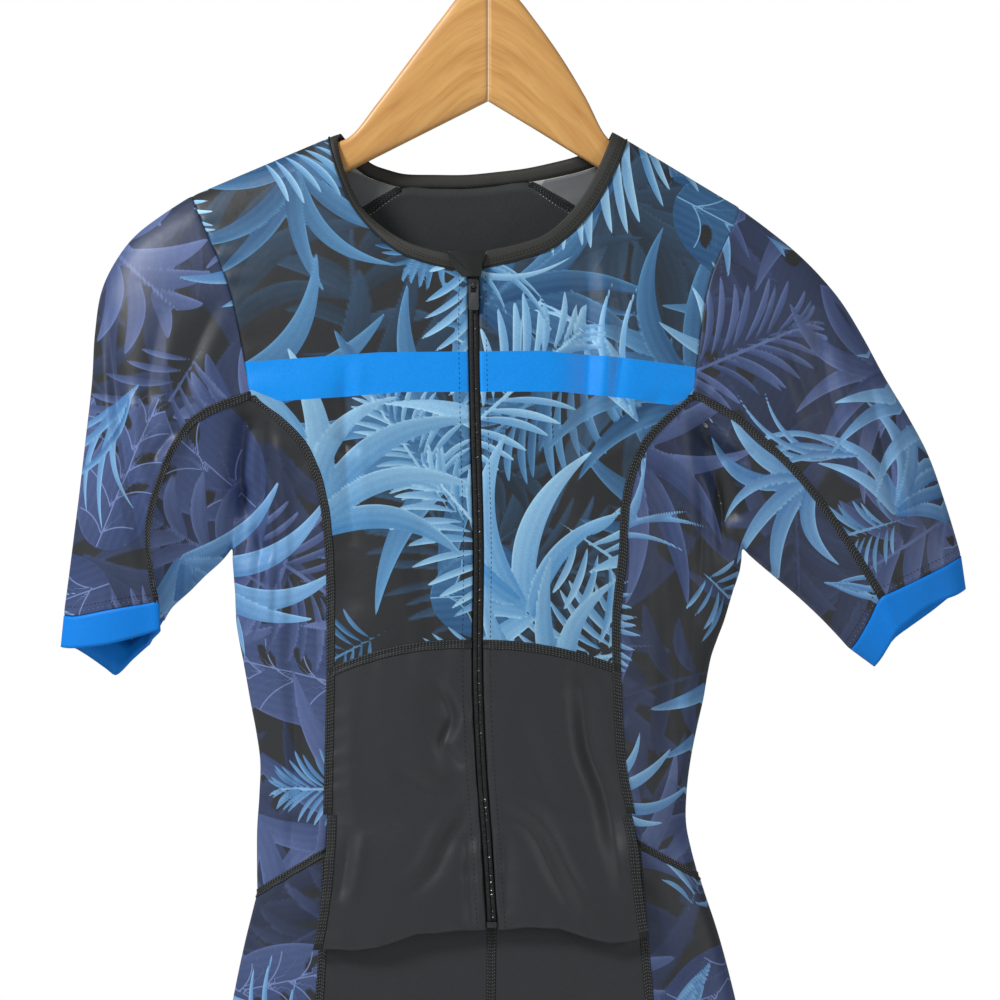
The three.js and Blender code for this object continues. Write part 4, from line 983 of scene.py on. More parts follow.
# The chest band's upper and lower edges on the front
BAND_TOP = {"x": [-150, -68, 33, 83, 130], "z": [-303.7, -298, -297, -301, -307]}
BAND_BOTTOM = {"x": [-148, -131, -93, -55, 45, 89, 115, 124, 130],
               "z": [-321.5, -328.5, -326, -323, -322.6, -327, -331, -327.6, -320]}


def band_distance(grid):
    """How far points are inside the chest band, in millimetres, on the front only."""
    x, y, z = grid[..., 0], grid[..., 1], grid[..., 2]
    top = np.interp(x, BAND_TOP["x"], BAND_TOP["z"])
    bottom = np.interp(x, BAND_BOTTOM["x"], BAND_BOTTOM["z"])
    return np.where(y < 0, np.minimum(top - z, z - bottom), EMPTY_EDGE)


def join(tree, kind, values=None, **settings):
    """A shader node of one kind, with settings, and inputs set or linked by name."""
    made = tree.nodes.new("ShaderNode" + kind)
    for key, value in settings.items():
        setattr(made, key, value)
    for key, value in (values or {}).items():
        socket = made.inputs[key]
        if isinstance(value, bpy.types.NodeSocket):
            tree.links.new(value, socket)
        else:
            socket.default_value = value
    return made


def attribute(tree, name, output):
    return join(tree, "Attribute", attribute_name=name).outputs[output]


def mapped(tree, value, low, high, first=0.0, last=1.0):
    """A value carried over from one range to another, and held at its ends."""
    values = {"Value": value, "From Min": low, "From Max": high, "To Min": first, "To Max": last}
    return join(tree, "MapRange", values).outputs["Result"]


def object_noise(tree, scale, detail=2.0, distortion=0.0):
    """Noise on the object's own coordinates, so that it stays with the piece."""
    place = join(tree, "TexCoord").outputs["Object"]
    values = {"Vector": place, "Scale": scale, "Detail": detail, "Distortion": distortion}
    return join(tree, "TexNoise", values).outputs["Fac"]


def mixed(tree, share, first, second, blend="MIX"):
    """The colour output of a mix of two colours."""
    made = tree.nodes.new("ShaderNodeMix")
    made.data_type = "RGBA"
    made.blend_type = blend
    for key, value in ((0, share), (6, first), (7, second)):
        if isinstance(value, bpy.types.NodeSocket):
            tree.links.new(value, made.inputs[key])
        else:
            made.inputs[key].default_value = value
    return made.outputs[2]


def sharp(tree, name, half=0.14):
    """One inside an outline and nought outside it, from a signed distance."""
    return mapped(tree, attribute(tree, name, "Fac"), -half, half)


def finish_material(name, values):
    """A material with its shader, whose constant finish is set on the shader itself."""
    made = bpy.data.materials.new(name)
    made.use_nodes = True
    shader = made.node_tree.nodes["Principled BSDF"]
    for key, value in values.items():
        shader.inputs[key].default_value = value
    return made, made.node_tree, shader


def rgba(code):
    return (*linear(code), 1)


KNIT_PITCH = 0.0009


def knit_height(tree):
    """Height of a fine knit: wales across the piece's own map times courses down it."""
    cloth = join(tree, "UVMap", uv_map="cloth").outputs["UV"]
    scale = 2 * math.pi / (20 * KNIT_PITCH)
    wales = join(tree, "TexWave", {"Vector": cloth, "Scale": scale}, bands_direction="X").outputs["Fac"]
    rows = join(tree, "TexWave", {"Vector": cloth, "Scale": scale * 0.8}, bands_direction="Y").outputs["Fac"]
    return join(tree, "Math", {0: wales, 1: rows}, operation="MULTIPLY").outputs[0]


def cloth_bump(tree, shader):
    """Bump of the knit and of faint unevenness some millimetres across."""
    uneven = {"Height": object_noise(tree, 55.0, 3.0), "Strength": 0.5, "Distance": 0.0009}
    low = join(tree, "Bump", uneven).outputs["Normal"]
    fine = {"Height": knit_height(tree), "Strength": 0.25, "Distance": 0.00012, "Normal": low}
    tree.links.new(join(tree, "Bump", fine).outputs["Normal"], shader.inputs["Normal"])


def speckled(tree, colour, amount, scale=900.0):
    """A colour that a fine noise lightens and darkens by a share."""
    level = mapped(tree, object_noise(tree, scale), 0.3, 0.7, 1 - amount, 1 + amount)
    grey = join(tree, "CombineColor", {"Red": level, "Green": level, "Blue": level}).outputs["Color"]
    return mixed(tree, 1.0, colour, grey, "MULTIPLY")


def print_material(name, vein_code, band_code):
    """Printed lycra: the ground, two layers of leaves with sharp edges and fine
    veins, then the band."""
    made, tree, shader = finish_material(name, {"Roughness": 0.44, "Specular IOR Level": 0.35})
    colour = attribute(tree, "ground_tint", "Color")
    for layer in ("leaf", "lit"):
        leaves = attribute(tree, layer + "_tint", "Color")
        across = attribute(tree, layer + "_vein", "Fac")
        off = join(tree, "Math", {0: across}, operation="ABSOLUTE").outputs[0]
        leaves = mixed(tree, mapped(tree, off, 0.25, 0.55, 0.75, 0.0), leaves, rgba(vein_code))
        colour = mixed(tree, sharp(tree, layer + "_edge"), colour, leaves)
    colour = mixed(tree, sharp(tree, "band_edge"), colour, rgba(band_code))
    tree.links.new(speckled(tree, colour, 0.07), shader.inputs["Base Color"])
    cloth_bump(tree, shader)
    return made


def plain_cloth(name, code, roughness=0.6, amount=0.1, gloss=0.35):
    """Dyed knit of one colour, with the knit's fine speckle."""
    made, tree, shader = finish_material(name, {"Roughness": roughness, "Specular IOR Level": gloss})
    tree.links.new(speckled(tree, rgba(code), amount), shader.inputs["Base Color"])
    cloth_bump(tree, shader)
    return made


def wood_material(name):
    """Lacquered beech: growth lines that run along the arm, darker pores and flecks."""
    made, tree, shader = finish_material(name, {
        "Roughness": 0.42, "Coat Weight": 0.25, "Coat Roughness": 0.25, "Specular IOR Level": 0.4})
    grain = attribute(tree, "grain", "Vector")
    long = join(tree, "VectorMath", {0: grain, 1: (7.0, 60.0, 60.0)}, operation="MULTIPLY").outputs[0]
    growth = {"Vector": long, "Scale": 1.6, "Detail": 5.0, "Distortion": 0.7}
    tone = join(tree, "TexNoise", growth).outputs["Fac"]
    fine = join(tree, "VectorMath", {0: grain, 1: (60.0, 900.0, 900.0)}, operation="MULTIPLY").outputs[0]
    pores = join(tree, "TexNoise", {"Vector": fine, "Scale": 1.0, "Detail": 3.0}).outputs["Fac"]
    colour = mixed(tree, mapped(tree, tone, 0.36, 0.64), rgba("#dba965"), rgba("#c68f50"))
    colour = mixed(tree, mapped(tree, pores, 0.55, 0.75, 0.0, 0.4), colour, rgba("#9c6733"))
    tree.links.new(colour, shader.inputs["Base Color"])
    bump = join(tree, "Bump", {"Height": pores, "Strength": 0.25, "Distance": 0.0002}).outputs["Normal"]
    tree.links.new(bump, shader.inputs["Normal"])
    return made


def smooth_finish(name, code, values):
    """A plain smooth surface with faint unevenness in its gloss."""
    made, tree, shader = finish_material(name, values)
    shader.inputs["Base Color"].default_value = rgba(code)
    level = values["Roughness"]
    gloss = mapped(tree, object_noise(tree, 700.0), 0.0, 1.0, 0.8 * level, 1.2 * level)
    tree.links.new(gloss, shader.inputs["Roughness"])
    return made


def wrong_side_material(name):
    """The print's pale wrong side, where it shows through in darker and lighter patches."""
    made, tree, shader = finish_material(name, {"Roughness": 0.7, "Specular IOR Level": 0.3})
    share = mapped(tree, object_noise(tree, 30.0, 0.0, 0.6), 0.49, 0.52)
    tree.links.new(mixed(tree, share, rgba("#9fa1a4"), rgba("#727578")), shader.inputs["Base Color"])
    cloth_bump(tree, shader)
    return made


def edge_first(panel, edge):
    """A panel's points and normals, turned so that one of its edges is the first row."""
    grid, normals = CLOTH[panel]
    if edge in ("first", "last"):
        grid, normals = grid.swapaxes(0, 1), normals.swapaxes(0, 1)
    if edge in ("bottom", "last"):
        grid, normals = grid[::-1], normals[::-1]
    return grid, normals


def along_edge(panel, edge, spacing, above=-2000, below=0):
    """Evenly spaced points of an edge, between two levels."""
    line = edge_first(panel, edge)[0][0]
    line = line[(line[:, 2] > above) & (line[:, 2] < below)]
    runs = length_along(line)
    return points_at(line, runs, np.linspace(0, runs[-1], max(4, round(runs[-1] / spacing) + 1)))


def beside(panel, edge, line, distances):
    """Points and normals of a panel at some distances in from its edge, for each point
    of a line that runs along this edge."""
    grid, normals = edge_first(panel, edge)
    rim = grid[0]
    stretch = rim[1:] - rim[:-1]
    offset = line[:, None] - rim[None, :-1]
    t = np.clip((offset * stretch).sum(-1) / np.maximum((stretch ** 2).sum(-1), 1e-9), 0, 1)
    nearest = np.linalg.norm(offset - t[..., None] * stretch, axis=-1).argmin(axis=1)
    share = t[np.arange(len(line)), nearest][:, None]
    points, turned = (v[:14, nearest] * (1 - share) + v[:14, nearest + 1] * share for v in (grid, normals))
    steps = np.linalg.norm(np.diff(points, axis=0), axis=-1)
    runs = np.concatenate([np.zeros((1, len(line))), np.cumsum(steps, axis=0)])
    both = np.concatenate([points, turned], axis=-1)
    found = np.empty((len(distances), len(line), 6))
    for s in range(len(line)):
        for k in range(6):
            found[:, s, k] = np.interp(distances, runs[:, s], both[:, s, k])
    return found[..., :3], found[..., 3:]


def outward(points, faces):
    """Faces turned so that the closed form they bound has them facing outwards."""
    faces = np.asarray(faces)
    a, b, c = (points[faces[:, k]] for k in range(3))
    volume = (a * np.cross(b, c)).sum()
    if faces.shape[1] == 4:
        d = points[faces[:, 3]]
        volume += (a * np.cross(c, d)).sum()
    return faces if volume > 0 else faces[:, ::-1]


def tube(rings):
    """Points and triangles of a closed form through rings, with a fan at each end."""
    count, around = rings.shape[:2]
    points = np.concatenate([rings.reshape(-1, 3), rings[[0, -1]].mean(axis=1)])
    quads = grid_quads(count, around, ring=True)
    i = np.arange(around)
    after = (i + 1) % around
    last = (count - 1) * around
    first_cap = np.stack([np.full(around, count * around), i, after], -1)
    last_cap = np.stack([np.full(around, count * around + 1), last + after, last + i], -1)
    triangles = np.concatenate([quads[:, [0, 1, 2]], quads[:, [0, 2, 3]], first_cap, last_cap])
    return points, outward(points, triangles)


def spindles(starts, ends, normals, half, rise):
    """Points and triangles of small threads. Each is a double pyramid of six points: two
    ends pressed into the cloth, and four round the middle, which stands up by the rise."""
    aside = half * unit(np.cross(ends - starts, normals))
    middle = (starts + ends) / 2 + rise * normals
    up = half * normals
    corners = [starts, ends, middle + aside, middle + up, middle - aside, middle - up]
    points = np.stack(corners, axis=1)
    four = [(2, 3), (3, 4), (4, 5), (5, 2)]
    faces = np.array([(0, a, b) for a, b in four] + [(1, b, a) for a, b in four])
    faces = outward(points[0], faces)
    triangles = (faces[None] + 6 * np.arange(len(starts))[:, None, None]).reshape(-1, 3)
    return points.reshape(-1, 3), triangles


def together(parts):
    """Several sets of points and triangles as one."""
    points = np.concatenate([p for p, _ in parts])
    starts = np.cumsum([0] + [len(p) for p, _ in parts[:-1]])
    return points, np.concatenate([t + start for (_, t), start in zip(parts, starts)])


# Cross-section of a flatlock seam's cover on either side: distance from the seam, height
COVER_AWAY = [3.1, 2.9, 2.3, 1.9, 1.2, 0.7]
COVER_HEIGHTS = [-0.2, 0.38, 0.62, 0.52, 0.66, 0.55]
COVER_DEPTH = 0.9
COVER_SPACING = 1.6
BORDER_INSET = 3
STITCH_PITCH = 2.1
STITCH_ROWS = [(0.5, 1.25), (1.85, 2.6)]
STITCH_HEIGHTS = [0.66, 0.62]


def dress(made, body, nodes, materials):
    """Gives a piece its materials, its body and the nodes that it stands for."""
    for material in materials:
        made.data.materials.append(FINISH[material])
    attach(made, body)
    if nodes:
        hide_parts(*nodes)
    return made


def form(name, shape, slot, finishes, nodes=(), **faces):
    """A closed form on the garment's body, from its points and triangles."""
    points, triangles = shape
    return dress(make_mesh(name, points, [], triangles, **faces), "garment", nodes, finishes)


def flatlock(name, line, first, second=None, inside=False):
    """A flatlock seam: a thin cover over both panels' edges, whose section follows each
    panel's face, and slanting stitches across it in two rows to a side. With one panel
    it covers this panel's turned border, a little in from its edge."""
    sign = -1 if inside else 1
    lift = WALL if inside else 0
    spans = [(first, 0, 1), (second, 0, 1)]
    if second is None:
        spans = [(first, BORDER_INSET, 1), (first, BORDER_INSET, -1)]

    def raised(span, places, away, heights):
        panel, inset, way = span
        points, normals = beside(*panel, places, np.maximum(inset + way * np.array(away), 0))
        return points + sign * (np.reshape(heights, (-1, 1, 1)) + lift) * normals, sign * normals

    left, left_normals = raised(spans[0], line, COVER_AWAY, COVER_HEIGHTS)
    right, right_normals = raised(spans[1], line, COVER_AWAY, COVER_HEIGHTS)
    bottom = (left[-1] + right[-1]) / 2 - COVER_DEPTH * unit(left_normals[-1] + right_normals[-1])
    rings = np.concatenate([left, right[::-1], bottom[None]]).swapaxes(0, 1)
    runs = length_along(line)
    fine = points_at(line, runs, np.arange(STITCH_PITCH, runs[-1] - STITCH_PITCH, STITCH_PITCH / 2))
    last = 2 * ((len(fine) - 1) // 2)
    rows = []
    for span in spans:
        for near, far in STITCH_ROWS:
            (low, high), turned = raised(span, fine, [near, far], STITCH_HEIGHTS)
            rows.append(spindles(low[0:last:2], high[1:last:2], turned[0, 0:last:2], 0.2, 0.1))
    cover = tube(rings)
    shape = together([cover, *rows])
    form(name, shape, "black_cloth", ["seam_cover", "seam_thread"], second=(len(cover[1]), len(shape[1])))


def stitch_row(name, panel, edge, distance, pitch, finish, slot="black_cloth", line=None, duty=2,
               inside=False, **levels):
    """A row of lockstitches at a distance in from an edge. Each covers a stated number of
    thirds of the pitch."""
    line = along_edge(panel, edge, pitch / 3, **levels) if line is None else line
    (points,), (normals,) = beside(panel, edge, line, [distance])
    if inside:
        points, normals = points - WALL * normals, -normals
    count = (len(line) - 1) // 3
    starts, ends = points[0:3 * count:3], points[duty:3 * count + duty:3][:count]
    shape = spindles(starts, ends, normals[0:3 * count:3], 0.24, 0.12)
    form(name, shape, slot, [finish])


def round_tube(line, radius, up, sides=8):
    """A round tube along a line of points, with one direction of its section given."""
    along = unit(np.gradient(line, axis=0))
    aside = unit(np.cross(along, up))
    over = np.cross(aside, along)
    angle = np.linspace(0, 2 * math.pi, sides, endpoint=False)[None, :, None]
    return tube(line[:, None] + radius * (np.cos(angle) * aside[:, None] + np.sin(angle) * over[:, None]))


def tape_grid(side, rows):
    """One tape of the zip behind the front panels, with its half of the coil's bed
    standing forward at the middle. Columns run out from the middle."""
    sign = -1 if side == "left" else 1
    out = np.array([0.2, 0.8, 1.6, 2.2, 2.6, 3.0, 3.4, 5.0, 7.5, TAPE_HALF_WIDTH])
    height = COIL_HEIGHT * np.array([0.93, 1, 1, 0.93, 0.7, 0.3, 0, 0, 0, 0])
    line = zip_at(np.linspace(ZIP_TOP_Z - 1, ZIP_STOP_Z, rows))
    grid = np.repeat(line[:, None], len(out), axis=1)
    grid[..., 0] += sign * out
    grid[..., 1] += sink(grid, FOLDS) + WALL + TAPE_CLEARANCE - height
    return grid[:, ::-1] if side == "left" else grid


def coil_teeth(side, seed):
    """The coil's loops on one side: short bars across its bed, half a pitch apart from
    the other side's, each turned a little at random so that a few catch the light."""
    rng = np.random.default_rng(seed)
    sign = -1 if side == "left" else 1
    lag = COIL_PITCH / 2 if side == "left" else 0
    line = zip_at(np.arange(ZIP_TOP_Z - 2, ZIP_STOP_Z + 1, -COIL_PITCH) - lag)
    line[:, 1] += sink(line[None], FOLDS)[0] + WALL + TAPE_CLEARANCE - COIL_HEIGHT
    starts, ends = line + [sign * 0.1, 0.1, -0.15], line + [sign * 2.3, 0.1, 0.15]
    aside, up = rng.normal(0, 0.25, len(line)), rng.normal(0, 0.25, len(line))
    turned = np.stack([aside, -np.ones(len(line)), up], -1)
    return spindles(starts, ends, unit(turned), 0.36, 0.02)


def softened(node, name, slot, width):
    """A CAD node's own shape, with its corners merged and its edges rounded."""
    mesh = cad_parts[node].data.copy()
    mesh.materials.clear()
    shape = bmesh.new()
    shape.from_mesh(mesh)
    bmesh.ops.remove_doubles(shape, verts=shape.verts, dist=1e-6)
    bmesh.ops.dissolve_limit(shape, angle_limit=0.01, verts=shape.verts, edges=shape.edges)
    shape.to_mesh(mesh)
    shape.free()
    mesh.shade_smooth()
    made = bpy.data.objects.new(name, mesh)
    bpy.context.scene.collection.objects.link(made)
    rounding = made.modifiers.new("rounding", "BEVEL")
    rounding.width = width * MM
    rounding.segments = 2
    rounding.angle_limit = math.radians(35)
    rounding.harden_normals = True
    body = "pull_tab" if node == "zip_pull_tab" else "garment"
    dress(made, body, [node], [slot])


def garage_grid():
    """The binding's end folded down over the zip's top, with its diagonal fold's step."""
    rows = [[[row["left"], -row["out"], row["z"]],
             [(row["left"] + row["right"]) / 2, -row["out"] - BINDING_CROWN, row["z"]],
             [row["right"], -row["out"], row["z"]]] for row in GARAGE]
    lines = sample(np.array(rows, float), 2)
    grid = refine(lines, GARAGE_CELL)
    start, end = (np.array(GARAGE_FOLD[k], float) for k in (0, 1))
    along = (end - start) / np.linalg.norm(end - start)
    offset = grid[..., [0, 2]] - start
    over = np.clip((offset[..., 1] * along[0] - offset[..., 0] * along[1]) / 0.9 + 0.5, 0, 1)
    grid[..., 1] -= 1.1 * over * over * (3 - 2 * over)
    return grid


def hanger_arm(side):
    """A wooden arm: upright sections like rounded boxes from the mitre to the tip. Each
    is a superellipse |y/a|^4 + |z/b|^4 = 1. Writes a map that runs along the arm."""
    sign = -1 if side == "left" else 1
    rows = SIDES[side]["wood"]
    top = column(rows, "top") - WOOD_DROP * (column(rows, "x") != 0)
    line = np.stack([column(rows, "x"), top, column(rows, "bottom")], -1)
    line[0, 0] = sign * WOOD_MITRE_GAP
    line = sample(line, 6)
    shrink = np.ones(len(line))
    shrink[-3:] = [0.97, 0.9, 0.72]
    angle = np.linspace(0, 2 * math.pi, 40, endpoint=False)
    c, s = np.cos(angle), np.sin(angle)
    box = np.stack([np.sign(c) * np.abs(c) ** 0.5, np.sign(s) * np.abs(s) ** 0.5], -1)
    middle, half = (line[:, 1] + line[:, 2]) / 2, (line[:, 1] - line[:, 2]) / 2
    rings = np.empty((len(line), len(angle), 3))
    rings[..., 0] = line[:, :1]
    rings[..., 1] = WOOD_HALF_THICK * shrink[:, None] * box[:, 0]
    rings[..., 2] = middle[:, None] + (half * shrink)[:, None] * box[:, 1]
    node = "hanger_arm_" + side
    made = form(node + "_wood", tube(rings), "hanger_wood", ["hanger_wood"], [node])
    runs = length_along(np.stack([line[:, 0], middle], -1))
    grain = np.stack([np.repeat(runs, len(angle)), rings[..., 1].ravel(),
                      (half[:, None] * box[:, 1]).ravel()], -1)
    grain = np.concatenate([grain, grain[[0, -1]]]) * MM
    made.data.attributes.new("grain", "FLOAT_VECTOR", "POINT").data.foreach_set("vector", grain.ravel())


def hanger_hook():
    """The steel hook: a stem out of the wood's peak, then an open loop over the rail."""
    radius = HOOK_INNER_RADIUS + HOOK_WIRE / 2
    angles = np.radians(np.arange(HOOK_SWEEP[0], HOOK_SWEEP[1] + 1, HOOK_SWEEP[2]))
    loop = np.stack([radius * np.cos(angles), 0 * angles, radius * np.sin(angles) - HOOK_INNER_RADIUS], -1)
    stem = [[0, 0, HOOK_STEM_END_Z], [0, 0, HOOK_STEM_END_Z + HOOK_STEM_RISE]]
    line = sample(np.concatenate([stem, loop]), 8)
    wire = round_tube(line, HOOK_WIRE / 2, np.array([0.0, 1.0, 0.0]), sides=24)
    form("hanger_hook_wire", wire, "hook_steel", ["hook_steel"], ["hanger_hook"])


def facing(grid, side):
    """Turned so that down x across points outwards on either side of the suit."""
    return grid if side == "left" else grid[:, ::-1]


def cloth_piece(node, grid, slot, outside, inside, ring=False, **shell):
    """A cloth node's shell, with its finishes."""
    made = cloth_shell(node + "_cloth", grid, ring, **shell)
    dress(made, "garment", [node], [outside, inside])
    return made


def keep_cloth(node, grid, side):
    """Keeps a panel's points and normals for its seams, in the left side's order."""
    CLOTH[node] = (facing(grid, side), facing(grid_normals(grid), side))


def printed_panel(node, side, coarse, fold_column, palette, cell=PRINT_CELL):
    """A printed panel from its coarse grid, whose columns run in the left side's order.
    A panel that wraps from front to back unfolds about one of its columns."""
    fine = refine(facing(coarse, side), cell)
    if fold_column is None:
        places = over_shoulder(fine)
        band = band_distance(fine)
    else:
        fold = round(fold_column * (fine.shape[1] - 1) / (coarse.shape[1] - 1))
        places = unfold(fine, fold if side == "left" else fine.shape[1] - 1 - fold)
        band = None
    seed = PRINT_SEEDS[node]
    grid = settle(fine, seed)
    slot = palette + "_print"
    made = cloth_piece(node, grid, slot, slot, "wrong_side")
    print_leaves(made, places, palette, seed, band)
    keep_cloth(node, grid, side)


def hem_waves(grid):
    """Lets the free hem of a plain front hang in waves, which fade upwards."""
    share = np.clip((HEM_WAVE_TOP - grid[..., 2]) / (HEM_WAVE_TOP - HEM_Z), 0, 1) ** 2
    grid[..., 2] += share * np.interp(grid[..., 0], HEM_WAVE["x"], HEM_WAVE["z"])
    return grid


def plain_panel(node, side, coarse, seed, cell=PLAIN_CELL):
    fine = refine(facing(coarse, side), cell)
    if node.startswith("front_lower"):
        fine = hem_waves(fine)
    grid = settle(fine, seed)
    cloth_piece(node, grid, "black_cloth", "black_cloth", "inside_black")
    keep_cloth(node, grid, side)


def ring_band(node, side, rings, slot):
    ring = refine(facing(rings[:, ::-1], side), PLAIN_CELL, ring=True)
    cloth_piece(node, ring, slot, slot, slot, ring=True)


FINISH = {
    "front_print": print_material("front_print", "#86bde6", "#008eee"),
    "side_print": print_material("side_print", "#7d90c4", "#008eee"),
    "black_cloth": plain_cloth("black_cloth", "#282b2f", roughness=0.48, gloss=0.5),
    "inside_black": plain_cloth("inside_black", "#303335", roughness=0.7),
    "wrong_side": wrong_side_material("wrong_side"),
    "cuff_blue": plain_cloth("cuff_blue", "#0a7fe0", roughness=0.55, amount=0.05, gloss=0.2),
    "binding": plain_cloth("binding", "#343432", roughness=0.6),
    "garage": plain_cloth("garage", "#1b211e", roughness=0.5),
    "seam_cover": plain_cloth("seam_cover", "#1d1f20", roughness=0.6),
    "seam_thread": smooth_finish("seam_thread", "#74777a", {"Roughness": 0.5}),
    "white_thread": smooth_finish("white_thread", "#d8d8d6", {"Roughness": 0.5}),
    "dark_thread": smooth_finish("dark_thread", "#15171b", {"Roughness": 0.5}),
    "violet_thread": smooth_finish("violet_thread", "#8e93c4", {"Roughness": 0.5}),
    "zip_tape": plain_cloth("zip_tape", "#17181a", roughness=0.6),
    "zip_coil": smooth_finish("zip_coil", "#1b1c1e", {"Roughness": 0.2, "Specular IOR Level": 0.8}),
    "zip_metal": smooth_finish("zip_metal", "#26272a", {"Roughness": 0.35, "Specular IOR Level": 0.7}),
    "pull_tab": smooth_finish("pull_tab", "#3a3e42", {"Roughness": 0.45}),
    "hanger_wood": wood_material("hanger_wood"),
    "hook_steel": smooth_finish("hook_steel", "#c4c6c9", {"Roughness": 0.18, "Metallic": 1.0}),
}

GRIDS = {side: side_grids(side) for side in ("left", "right")}
FRONTS = {side: front_upper(side, GRIDS[side]) for side in ("left", "right")}
BACKS = {side: shorts_half(side, "back", GRIDS[side]) for side in ("left", "right")}
SHORTS_FRONTS = {side: shorts_half(side, "front", GRIDS[side]) for side in ("left", "right")}
BACK = back_panel(GRIDS, FRONTS, BACKS)

CLOTH = {}
PRINT_SEEDS = {"front_upper_left": 11, "front_upper_right": 23, "sleeve_left": 5, "sleeve_right": 8,
               "side_panel_left": 14, "side_panel_right": 31,
               "shorts_side_left": 17, "shorts_side_right": 19}
# Columns about which the wrapped panels unfold, and the seeds of the plain panels
SLEEVE_FOLD = {"left": 10, "right": 12}
STRIP_FOLD = 4
PLAIN_SEEDS = {"left": 41, "right": 47}
for side in ("left", "right"):
    grids = GRIDS[side]
    strip = np.concatenate([grids["underarm"][::-1], grids["torso"][1:]])
    printed_panel("front_upper_" + side, side, FRONTS[side], None, "front")
    printed_panel("sleeve_" + side, side, grids["sleeve"][:, ::-1], SLEEVE_FOLD[side], "side")
    printed_panel("side_panel_" + side, side, strip[:, ::-1], STRIP_FOLD, "side")
    printed_panel("shorts_side_" + side, side, grids["shorts"][:, ::-1], STRIP_FOLD, "side",
                  cell=SHORTS_PRINT_CELL)
    seed = PLAIN_SEEDS[side]
    plain_panel("front_lower_" + side, side, front_lower(side, grids), seed, cell=LOWER_FRONT_CELL)
    plain_panel("shorts_front_" + side, side, SHORTS_FRONTS[side], seed + 1)
    plain_panel("shorts_back_" + side, side, BACKS[side][:, ::-1], seed + 2)
    ring_band("cuff_" + side, side, cuff_rings(side, grids), "cuff_blue")
    ring_band("leg_band_" + side, side, leg_rings(grids, SHORTS_FRONTS[side], BACKS[side]), "black_cloth")
plain_panel("back_panel", "left", BACK[:, ::-1], 53, cell=BACK_CELL)

ARMPIT_Z = -324
for side in ("left", "right"):
    front, lower, sleeve = "front_upper_" + side, "front_lower_" + side, "sleeve_" + side
    strip, shorts = "side_panel_" + side, "shorts_side_" + side
    short_front, short_back = "shorts_front_" + side, "shorts_back_" + side
    back_edge = "last" if side == "left" else "first"
    seams = [
        ("side_front_seam", front, "first", strip, "last", {"below": ARMPIT_Z}),
        ("lower_side_seam", lower, "first", strip, "last", {"above": FLAP_LIFT_Z}),
        ("waist_seam", front, "bottom", lower, "top", {}),
        ("sleeve_front_seam", sleeve, "last", strip, "last", {}),
        ("sleeve_back_seam", sleeve, "first", strip, "first", {}),
        ("side_back_seam", "back_panel", back_edge, strip, "first", {"below": ARMPIT_Z}),
        ("yoke_seam", front, "top", "back_panel", "top", {}),
        ("back_waist_seam", short_back, "top", "back_panel", "bottom", {}),
        ("strip_seam", shorts, "top", strip, "bottom", {}),
        ("leg_front_seam", short_front, "first", shorts, "last", {}),
        ("leg_back_seam", short_back, "last", shorts, "first", {}),
        ("inseam", short_front, "last", short_back, "first", {"below": CROTCH_Z}),
    ]
    for name, first, edge, second, other_edge, levels in seams:
        line = along_edge(first, edge, COVER_SPACING, **levels)
        flatlock(name + "_" + side, line, (first, edge), (second, other_edge))
    line = along_edge(front, "top", COVER_SPACING)
    flatlock("yoke_inside_seam_" + side, line, (front, "top"), ("back_panel", "top"), inside=True)
    line = along_edge(front, "top", 0.8)
    stitch_row("yoke_inside_stitches_" + side, "back_panel", "top", 4.2, 2.4, "white_thread", line=line,
               inside=True)
    line = along_edge(lower, "first", COVER_SPACING, below=FLAP_LIFT_Z)
    flatlock("hem_border_" + side, line, (lower, "first"))
    stitch_row("zip_topstitch_" + side, front, "last", ZIP_TOPSTITCH[side], 3.1, "dark_thread",
               below=ZIP_TOP_Z, slot="front_print")
    stitch_row("lower_zip_topstitch_" + side, lower, "last", ZIP_TOPSTITCH[side], 3.1, "dark_thread")
    for panel, edge in ((sleeve, "bottom"), (strip, "top")):
        stitch_row(panel + "_cuff_stitches", panel, edge, 6, 2.6, "dark_thread", slot="side_print")
        stitch_row(panel + "_cuff_dashes", panel, edge, 3, 3.4, "violet_thread", slot="side_print", duty=1)
CENTRE_SEAMS = [("centre_front_seam", "shorts_front_", "last"),
                ("centre_back_seam", "shorts_back_", "first")]
for name, panel, edge in CENTRE_SEAMS:
    line = along_edge(panel + "left", edge, COVER_SPACING, above=CROTCH_Z)
    flatlock(name, line, (panel + "left", edge), (panel + "right", edge))

inner_edge, outer_edge = neck_line("inner"), neck_line("outer")
binding = refine(between(inner_edge, outer_edge, 2, np.full(len(inner_edge), BINDING_CROWN)), BINDING_CELL)
cloth_piece("neck_binding", binding, "binding", "binding", "binding")
keep_cloth("neck_binding", binding, "left")
for row, distance in enumerate((3.2, 4.9)):
    stitch_row("binding_stitches_" + str(row), "neck_binding", "last", distance, 2.4, "dark_thread",
               slot="binding")
piping = round_tube(binding[:, -1] + 0.25 * grid_normals(binding)[:, -1], 0.55, np.array([0.0, 1.0, 0.0]))
form("binding_piping", piping, "binding", ["seam_cover"])

cloth_piece("zip_garage", garage_grid(), "binding", "garage", "garage")

for side in ("left", "right"):
    tape, node = tape_grid(side, TAPE_ROWS), "zip_tape_" + side
    cloth_piece(node, tape, "zip_tape", "zip_tape", "zip_tape", thick=TAPE_WALL, ratio=1)
    teeth = coil_teeth(side, COIL_SEEDS[side])
    form("zip_coil_" + side, teeth, "zip_tape", ["zip_coil"], flat=len(teeth[1]))
    hanger_arm(side)
softened("zip_slider", "zip_slider_body", "zip_metal", 0.3)
softened("zip_bottom_stop", "zip_stop_body", "zip_metal", 0.3)
softened("zip_pull_tab", "pull_tab_body", "pull_tab", 0.25)
hanger_hook()


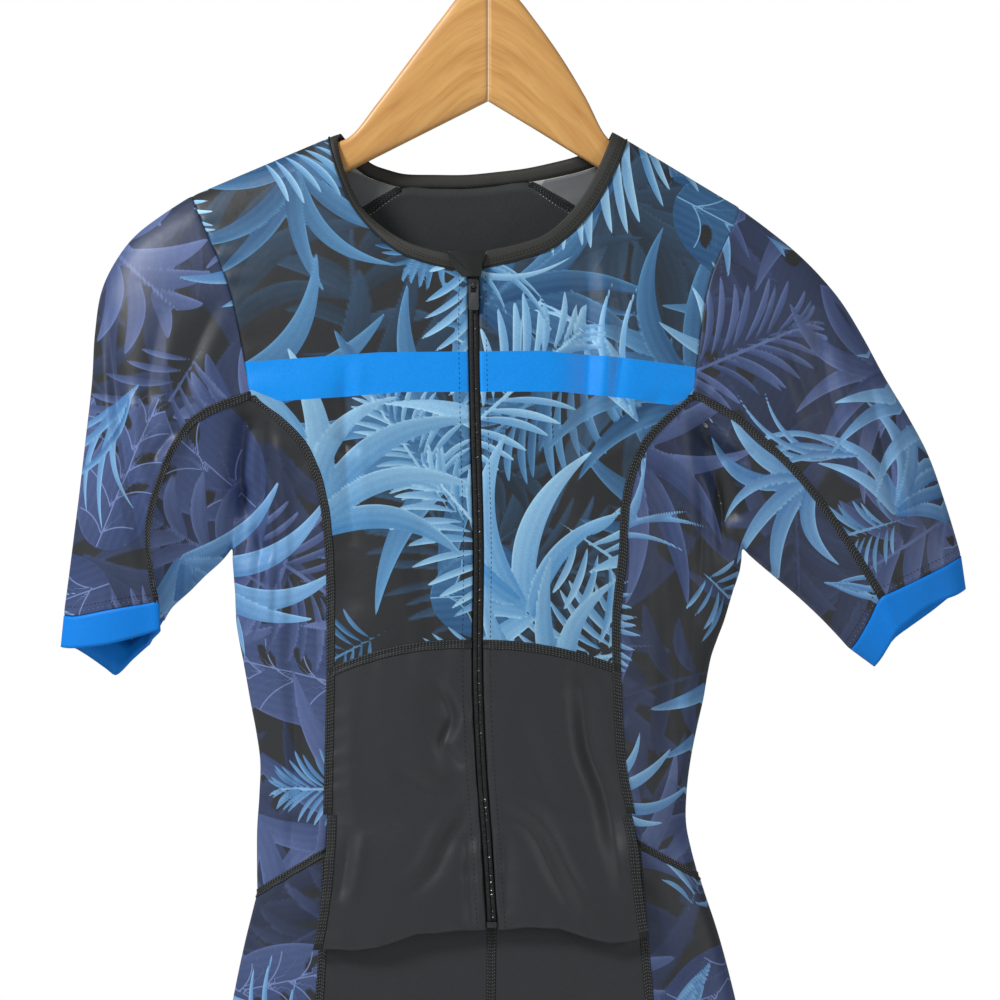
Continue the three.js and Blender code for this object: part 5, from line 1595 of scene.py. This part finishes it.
def area_light(name, place, target, size, energy):
    data = bpy.data.lights.new(name, "AREA")
    data.size = size
    data.energy = energy
    lamp = bpy.data.objects.new(name, data)
    bpy.context.scene.collection.objects.link(lamp)
    lamp.location = place
    lamp.rotation_euler = (Vector(target) - Vector(place)).to_track_quat("-Z", "Y").to_euler()


# The photo's frame: what 1000 pixels cover at the suit's front, and its middle
FRAME_WIDTH = 0.63
FRAME_MIDDLE = (0.00756, -0.02, -0.3906)
CAMERA_DISTANCE = 2.0
SENSOR = 36.0

camera = bpy.data.objects.new("camera", bpy.data.cameras.new("camera"))
bpy.context.scene.collection.objects.link(camera)
camera.data.sensor_width = SENSOR
camera.data.lens = SENSOR * CAMERA_DISTANCE / FRAME_WIDTH
camera.data.clip_end = 50
camera.location = (FRAME_MIDDLE[0], FRAME_MIDDLE[1] - CAMERA_DISTANCE, FRAME_MIDDLE[2])
camera.rotation_euler = (math.pi / 2, 0, 0)
bpy.context.scene.camera = camera

# The backdrop is white to the camera, and lights the suit less strongly
world = bpy.data.worlds.new("studio")
world.use_nodes = True
sky = world.node_tree
seen = sky.nodes.new("ShaderNodeLightPath").outputs["Is Camera Ray"]
strength = mapped(sky, seen, 0.0, 1.0, 0.25, 1.0)
sky.nodes["Background"].inputs["Color"].default_value = (1, 1, 1, 1)
sky.links.new(strength, sky.nodes["Background"].inputs["Strength"])
bpy.context.scene.world = world
bpy.context.scene.view_settings.view_transform = "Standard"
area_light("key", (-1.5, -1.2, 0.9), (0, 0, -0.4), 0.55, 48)
area_light("fill", (1.7, -1.5, -0.1), (0, 0, -0.4), 1.0, 9)

FLOOR_REACH = 4000
FLOOR_Z = -1350
corners = [[x * FLOOR_REACH, y * FLOOR_REACH, FLOOR_Z] for x, y in ((-1, -1), (1, -1), (1, 1), (-1, 1))]
floor = make_mesh("floor", np.array(corners, float), [[0, 1, 2, 3]])
floor_finish, tree, shader = finish_material("floor", {"Roughness": 0.8})
tree.links.new(speckled(tree, rgba("#f2f1ee"), 0.03, 40.0), shader.inputs["Base Color"])
floor.data.materials.append(floor_finish)
